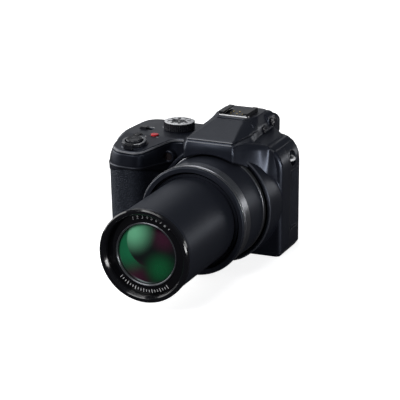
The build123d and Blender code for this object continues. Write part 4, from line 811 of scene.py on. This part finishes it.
scaleValues = {"radius": 24.3, "face": -147.22, "cone": 0.125, "digit": 3.0, "digits": (112, 50, 9),
               "tick": (0.34, 1.7, 0.08), "long": 1.5, "ticks": (-136, -54, 19)}


def onScale(degrees):
    # Places on the cone of the name ring, with the clockwise direction and the one up the cone.
    angle = np.radians(np.asarray(degrees, float))
    radial = np.insert(unit(angle), 1, 0.0, axis=1)
    clockwise = np.column_stack([radial[:, 2], 0 * angle, -radial[:, 0]])
    coneUp = radial - np.array([0, -scaleValues["cone"], 0])
    coneUp /= np.linalg.norm(coneUp, axis=1)[:, None]
    return np.array([0, scaleValues["face"], lensAxisZ]) + radial * scaleValues["radius"], clockwise, coneUp


centres, clockwise, coneUp = onScale(np.linspace(*scaleValues["ticks"]))
tickSizes = np.tile(scaleValues["tick"], (len(centres), 1))
tickSizes[::3, 1] *= scaleValues["long"]
bars("scale_ticks", centres, clockwise, coneUp, np.cross(clockwise, coneUp), tickSizes,
     "print zoom_barrel gloss_black")
digitRows = zip(*onScale(np.linspace(*scaleValues["digits"])))
printedWords("scale_digits", [(str(k + 1), *row) for k, row in enumerate(digitRows)],
             scaleValues["digit"], scaleValues["tick"][2], "print zoom_barrel gloss_black")
print("lens pieces")


# Dials, keys and marks on the top

dialValues = {"place": (-42.8, 0.0, 82.15), "inner": 5.3, "outer": 10.25, "low": -0.55, "rise": 0.22,
              "digit": 2.5, "digitReach": 8.3, "star": (1.9, 3.0, 0.06), "starReach": 6.6,
              "grooves": (0.35, 5.25), "grooveZ": -0.34, "grooveDepth": 0.07, "floor": -0.52}
dialPlace = np.array(dialValues["place"])
inner, outer, low, rise = (dialValues[key] for key in ("inner", "outer", "low", "rise"))
turnedUpright("dial_top_ring", [
    (inner, low), (outer - 0.1, low), (outer, 0.05), (outer - 0.25, rise), (inner + 0.3, rise), (inner, 0.0)],
    dialPlace, "silver mode_dial steel")
grooveFrom, grooveTo = dialValues["grooves"]
grooves = np.linspace(grooveFrom, grooveTo, 29)
turnedUpright("dial_centre", np.vstack([
    np.column_stack([grooves, dialValues["grooveZ"] + dialValues["grooveDepth"] * np.cos(grooves * 8.0)]),
    [[grooveTo, dialValues["floor"]], [grooveFrom, dialValues["floor"]]]]),
    dialPlace, "button mode_dial button_black", crisp=60.0)
turnedUpright("dial_cap", [(0.001, -0.52), (0.6, -0.52), (0.6, -0.25), (0.4, -0.18), (0.001, -0.16)],
              dialPlace, "steel mode_dial steel", steps=32)


def spokes(degrees):
    # Outward and anticlockwise directions in the flat, eight to a turn from the given angle.
    out = np.insert(unit(np.radians(np.arange(8) * 45.0 + degrees)), 2, 0.0, axis=1)
    return out, np.cross((0, 0, 1.0), out)


starOut, starSide = spokes(-67.5)
bars("dial_star", dialPlace + starOut * dialValues["starReach"] + np.array([0, 0, rise + 0.02]), -starSide,
     starOut, (0, 0, 1), dialValues["star"], "darkPrint mode_dial button_black")
digitUp, digitSide = spokes(-90.0)
digitPlaces = dialPlace + digitUp * dialValues["digitReach"] + np.array([0, 0, rise + 0.01])
printedWords("dial_digits", [(str(k + 1), digitPlaces[k], -digitSide[k], digitUp[k]) for k in range(8)],
             dialValues["digit"], 0.06, "darkPrint mode_dial button_black")

tilt = math.atan(topSlope)
upTop = np.array([0, -math.sin(tilt), math.cos(tilt)])
backTop = np.array([0, math.cos(tilt), math.sin(tilt)])


def onTop(x, y, lift=0.0):
    # A point on the top face, lifted along its normal; in front of the break z falls with the slope.
    point = np.array([x, y, topFlatZ - topSlope * max(topBreakY - y, 0.0)])
    return point + (upTop if y < topBreakY else np.array([0, 0, 1.0])) * lift


shutterValues = {"place": (-58.5, -40.0),
                 "cap": [(0.001, 3.55), (2.2, 3.60), (3.8, 3.78), (4.75, 4.10), (4.95, 4.62), (4.75, 4.72),
                         (3.9, 4.52), (2.2, 4.33), (0.001, 4.27)]}
shutterPlace = onTop(*shutterValues["place"])
turnedUpright("shutter_cap", shutterValues["cap"], shutterPlace, "darkMetal shutter steel", tilt=tilt,
              crisp=50.0)
leverValues = {"ring": [(6.5, 2.85), (8.15, 2.85), (8.2, 3.05), (7.9, 3.2), (6.8, 3.2), (6.5, 3.05)],
               "count": 6, "pitch": 0.95, "tab": (-10.1, 3.86), "ridge": (0.45, 2.9, 0.5)}
turnedUpright("lever_ring", leverValues["ring"], shutterPlace, "brightRing zoom_lever ring_metal", tilt=tilt)
ridgeX = (np.arange(leverValues["count"]) - (leverValues["count"] - 1) / 2) * leverValues["pitch"]
ridgeCentres = (shutterPlace + ridgeX[:, None] * np.array([1.0, 0, 0]) + leverValues["tab"][0] * backTop
                + leverValues["tab"][1] * upTop)
bars("lever_ridges", ridgeCentres, (1, 0, 0), backTop, upTop, leverValues["ridge"],
     "button zoom_lever button_black")

keyRingValues = {"record_ring": (-52.0, -21.0, 3.0), "burst_ring": (-63.5, -23.5, 2.6)}  # x, y, inner radius
for ringName, (x, y, inner) in keyRingValues.items():
    turnedUpright(ringName, [(inner, -0.2), (inner + 0.7, -0.2), (inner + 0.7, 0.05), (inner + 0.35, 0.16),
                             (inner, 0.08)], onTop(x, y), "gloss camera_body gloss_black", steps=48,
                  tilt=tilt if y < topBreakY else 0.0)

flatRight, flatUp = (1, 0, 0), (0, 1, 0)
topPrintValues = {"size": 1.9, "thick": 0.06, "lift": 0.02,
                  "words": {"OFF": (-66.2, -4.4), "ON": (-61.4, -4.4)},  # place of each word
                  "marks": {(-54.9, 0.0): (1.6, 0.5), (-57.2, -24.6): (0.5, 1.4),
                            (-48.6, -24.2): (1.2, 0.4)}}  # place: width and length
thick, lift = topPrintValues["thick"], topPrintValues["lift"]
printedWords("power_words", [(words, onTop(*place, lift), flatRight, flatUp)
                             for words, place in topPrintValues["words"].items()],
             topPrintValues["size"], thick, "print camera_body body_plastic")
bars("top_marks", np.array([onTop(*place, lift) for place in topPrintValues["marks"]]), flatRight, flatUp,
     (0, 0, 1), [(*size, thick) for size in topPrintValues["marks"].values()],
     "print camera_body body_plastic")


def roundHoles(name, places, across, depth, home, steps=24):
    # Short dark pegs flush with the roof, whose dark colour is painted shade standing for the holes: rings of
    # across / 2 (cos a, sin a), closed at both ends.
    ring = across / 2 * unit(np.linspace(0, 2 * math.pi, steps, endpoint=False))
    faces = [face[::-1] for face in tubeFaces(2, steps)]
    peg = np.vstack([np.insert(ring, 2, z, axis=1) for z in (-depth, 0.02)])
    addJoined(name, [(peg + place, faces) for place in places], home)


microphoneValues = {"x": 12.9, "y": (3.4, 5.2, 7.0, 8.8), "z": 91.6, "across": 1.0, "depth": 0.3}
x, rows, z, across, depth = microphoneValues.values()
roundHoles("microphone_slots", np.array([(side * x, y, z) for side in (-1, 1) for y in rows]), across, depth,
           "seam camera_body gloss_black")

springValues = {"x": 8.3, "from": -5.4, "to": 12.4, "z": 92.1, "bow": 0.75, "half": (0.85, 0.12)}
x, start, end, z, bow, half = springValues.values()
springY = np.linspace(start, end, 40)
springZ = z + bow * np.sin((springY - start) / (end - start) * math.pi) ** 2
for springName, side in (("left_shoe_spring", -1), ("right_shoe_spring", 1)):
    sweep(springName, np.column_stack([np.full(40, side * x), springY, springZ]), (0, 0, 1.0),
          np.array([[-1, -1], [1, -1], [1, 1], [-1, 1]]) * half, "steel camera_body steel")

lugPlaces = {"right_lug_ring": (1, 37.9, 64.5), "left_lug_ring": (-1, -84.0, 61.5)}  # side, x, z
lugValues = {"y": 2.4, "half": 4.35, "reach": 3.45, "droop": 0.9, "wire": 0.95}
y, half, reach, droop, wire = lugValues.values()
lugTurn = np.linspace(0, math.pi, 33)
for lugName, (side, x, z) in lugPlaces.items():
    path = np.column_stack([x + side * reach * np.sin(lugTurn), y + half * np.cos(lugTurn),
                            z - droop * np.sin(lugTurn)])
    sweep(lugName, path, (0, 0, 1.0), barProfile * wire, "whiteMetal camera_body steel")
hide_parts("strap_lugs")
print("top pieces")


# Marks on the back

def backPlate(outline, x, z, y, depth=0.06):
    # A flat shape facing +Y: outline rows are u to the viewer's right (-X) and v up.
    outline = np.asarray(outline, float)
    n = len(outline)
    near = np.column_stack([x - outline[:, 0], np.full(n, y), z + outline[:, 1]])
    far = near - np.array([0, depth, 0])
    faces = [list(range(n)), list(reversed(range(n, 2 * n)))]
    faces += [[(k + 1) % n, k, n + k, n + (k + 1) % n] for k in range(n)]
    return np.vstack([near, far]), faces


def backMarks(name, shapes, home):
    # Each shape is an outline with its place x, z, y.
    return addJoined(name, [backPlate(*shape) for shape in shapes], home)


def triangle(size, degrees):
    # Three corners at the radius size, the first straight up, turned by the angle.
    return unit(np.radians(np.array([90.0, 210.0, 330.0]) + degrees)) * size


def block(width, height):
    # A rectangle's corners, centred.
    return np.array([(-1, -1), (1, -1), (1, 1), (-1, 1)]) * (width / 2, height / 2)


padValues = {"x": -61.0, "z": 26.0, "face": 21.03, "reach": 7.3, "arrow": 0.95}
x, z, face, reach, size = padValues.values()
arrows = []
for degrees in (0, 90, 180, 270):
    turn = math.radians(degrees)
    arrows.append((triangle(size, degrees), x + reach * math.sin(turn), z + reach * math.cos(turn), face))
backMarks("pad_arrows", arrows, "print cursor_pad button_black")
keyFace, keyX = 20.93, -41.5
keyMarks = {
    "playback": [(triangle(1.2, -90), keyX, 48.5)],
    "trash": [(block(1.5, 1.6), keyX, 12.7), (block(2.2, 0.35), keyX, 14.1)],
    "display": [(block(2.4, 0.35), -73.0, 13.0 + k) for k in (-0.8, 0.0, 0.8)],
    "lock": [(block(1.8, 1.3), keyX, 62.7), (block(0.4, 0.9), keyX - 0.6, 63.8),
             (block(0.4, 0.9), keyX + 0.6, 63.8)],
}
for key, shapes in keyMarks.items():
    backMarks(key + "_mark", [(*shape, keyFace) for shape in shapes], "print " + key + "_key button_black")
print("back marks")

socketValues = {"root": 3.2, "crest": 2.92, "outer": 3.4, "from": 0.5, "to": 5.9, "pitch": 1.27}
turnedUpright("socket_thread", threadTeeth(socketValues), (0, 0, 0), "brass camera_body brass_insert",
              steps=64, crisp=20.0)


# Floor, light and camera

def emptyTree(holder):
    # The cleared node tree of a material or the world: a maker of nodes and a maker of links.
    holder.use_nodes = True
    holder.node_tree.nodes.clear()
    return holder.node_tree.nodes.new, holder.node_tree.links.new


floorValues = {"half": 6.0, "z": -0.0001, "color": (0.80, 0.80, 0.80), "dark": (0.05, 0.05, 0.055),
               "glow": 0.80}
floorMesh = bpy.data.meshes.new("floor")
half, z = floorValues["half"], floorValues["z"]
floorMesh.from_pydata([(-half, -half, z), (half, -half, z), (half, half, z), (-half, half, z)], [],
                      [(0, 1, 2, 3)])
floor = linked("floor", floorMesh)
floorMaterial = bpy.data.materials.new("floorPaper")
make, link = emptyTree(floorMaterial)
output, paper, paperColor, glow, rays, strength, both = (make("ShaderNode" + kind) for kind in (
    "OutputMaterial", "BsdfDiffuse", "MixRGB", "Emission", "LightPath", "Math", "AddShader"))
paperColor.inputs["Color1"].default_value = (*floorValues["dark"], 1)
paperColor.inputs["Color2"].default_value = (*floorValues["color"], 1)
strength.operation = "MULTIPLY"
strength.inputs[1].default_value = floorValues["glow"]
link(rays.outputs["Is Camera Ray"], strength.inputs[0])
link(rays.outputs["Is Camera Ray"], paperColor.inputs["Fac"])
link(paperColor.outputs[0], paper.inputs["Color"])
link(strength.outputs[0], glow.inputs["Strength"])
link(paper.outputs[0], both.inputs[0])
link(glow.outputs[0], both.inputs[1])
link(both.outputs[0], output.inputs["Surface"])
floorMesh.materials.append(floorMaterial)

worldValues = {"seen": 1.0, "light": 0.085, "color": (0.80, 0.88, 1.0)}
world = bpy.data.worlds.new("studio")
bpy.context.scene.world = world
make, link = emptyTree(world)
output, rays, lit, seen, choose = (make("ShaderNode" + kind) for kind in (
    "OutputWorld", "LightPath", "Background", "Background", "MixShader"))
lit.inputs["Color"].default_value = (*worldValues["color"], 1)
lit.inputs["Strength"].default_value = worldValues["light"]
seen.inputs["Strength"].default_value = worldValues["seen"]
link(rays.outputs["Is Camera Ray"], choose.inputs[0])
link(lit.outputs[0], choose.inputs[1])
link(seen.outputs[0], choose.inputs[2])
link(choose.outputs[0], output.inputs["Surface"])


def areaLamp(name, place, target, size, power):
    # A rectangular lamp at the place, turned to face the target.
    data = bpy.data.lights.new(name, "AREA")
    data.shape = "RECTANGLE"
    data.size, data.size_y = size
    data.energy = power
    lamp = linked(name, data)
    lamp.location = place
    lamp.visible_camera = False
    lamp.rotation_mode = "QUATERNION"
    lamp.rotation_quaternion = (Vector(target) - Vector(place)).to_track_quat("-Z", "Y")


lampTarget = (-0.02, -0.05, 0.04)
lampValues = {  # place, size and power
    "leftLamp": ((-1.15, -0.15, 0.34), (1.3, 1.0), 17.0),
    "rightLamp": ((1.20, -0.50, 0.14), (0.5, 0.34), 12.0),
    "rearLeftLamp": ((-0.60, 1.20, 0.45), (0.8, 0.6), 0.50),
    "rearRightLamp": ((0.65, 1.15, 0.10), (0.6, 0.2), 0.8),
    "topLamp": ((-0.45, 0.60, 1.10), (0.55, 0.55), 1.8),
    "frontLamp": ((-0.35, -1.10, 1.20), (0.95, 0.95), 19.0),
}
for lampName, (place, size, power) in lampValues.items():
    areaLamp(lampName, place, lampTarget, size, power)

cameraValues = {"azimuth": 23.4, "elevation": 17.85, "distance": 1.33825, "target": (-0.0272, 0.0, 0.0265),
                "lens": 172.0, "sensor": 36.0, "clip": (0.05, 30.0)}
cameraData = bpy.data.cameras.new("photoCamera")
cameraData.sensor_width = cameraValues["sensor"]
cameraData.lens = cameraValues["lens"]
cameraData.clip_start, cameraData.clip_end = cameraValues["clip"]
camera = linked("photoCamera", cameraData)
azimuth, elevation = math.radians(cameraValues["azimuth"]), math.radians(cameraValues["elevation"])
backward = Vector((math.sin(azimuth) * math.cos(elevation), -math.cos(azimuth) * math.cos(elevation),
                   math.sin(elevation)))
camera.location = Vector(cameraValues["target"]) + backward * cameraValues["distance"]
camera.rotation_mode = "QUATERNION"
camera.rotation_quaternion = (-backward).to_track_quat("-Z", "Y")
bpy.context.scene.camera = camera
bpy.context.scene.view_settings.view_transform = "Standard"
print("floor, lamps and camera")
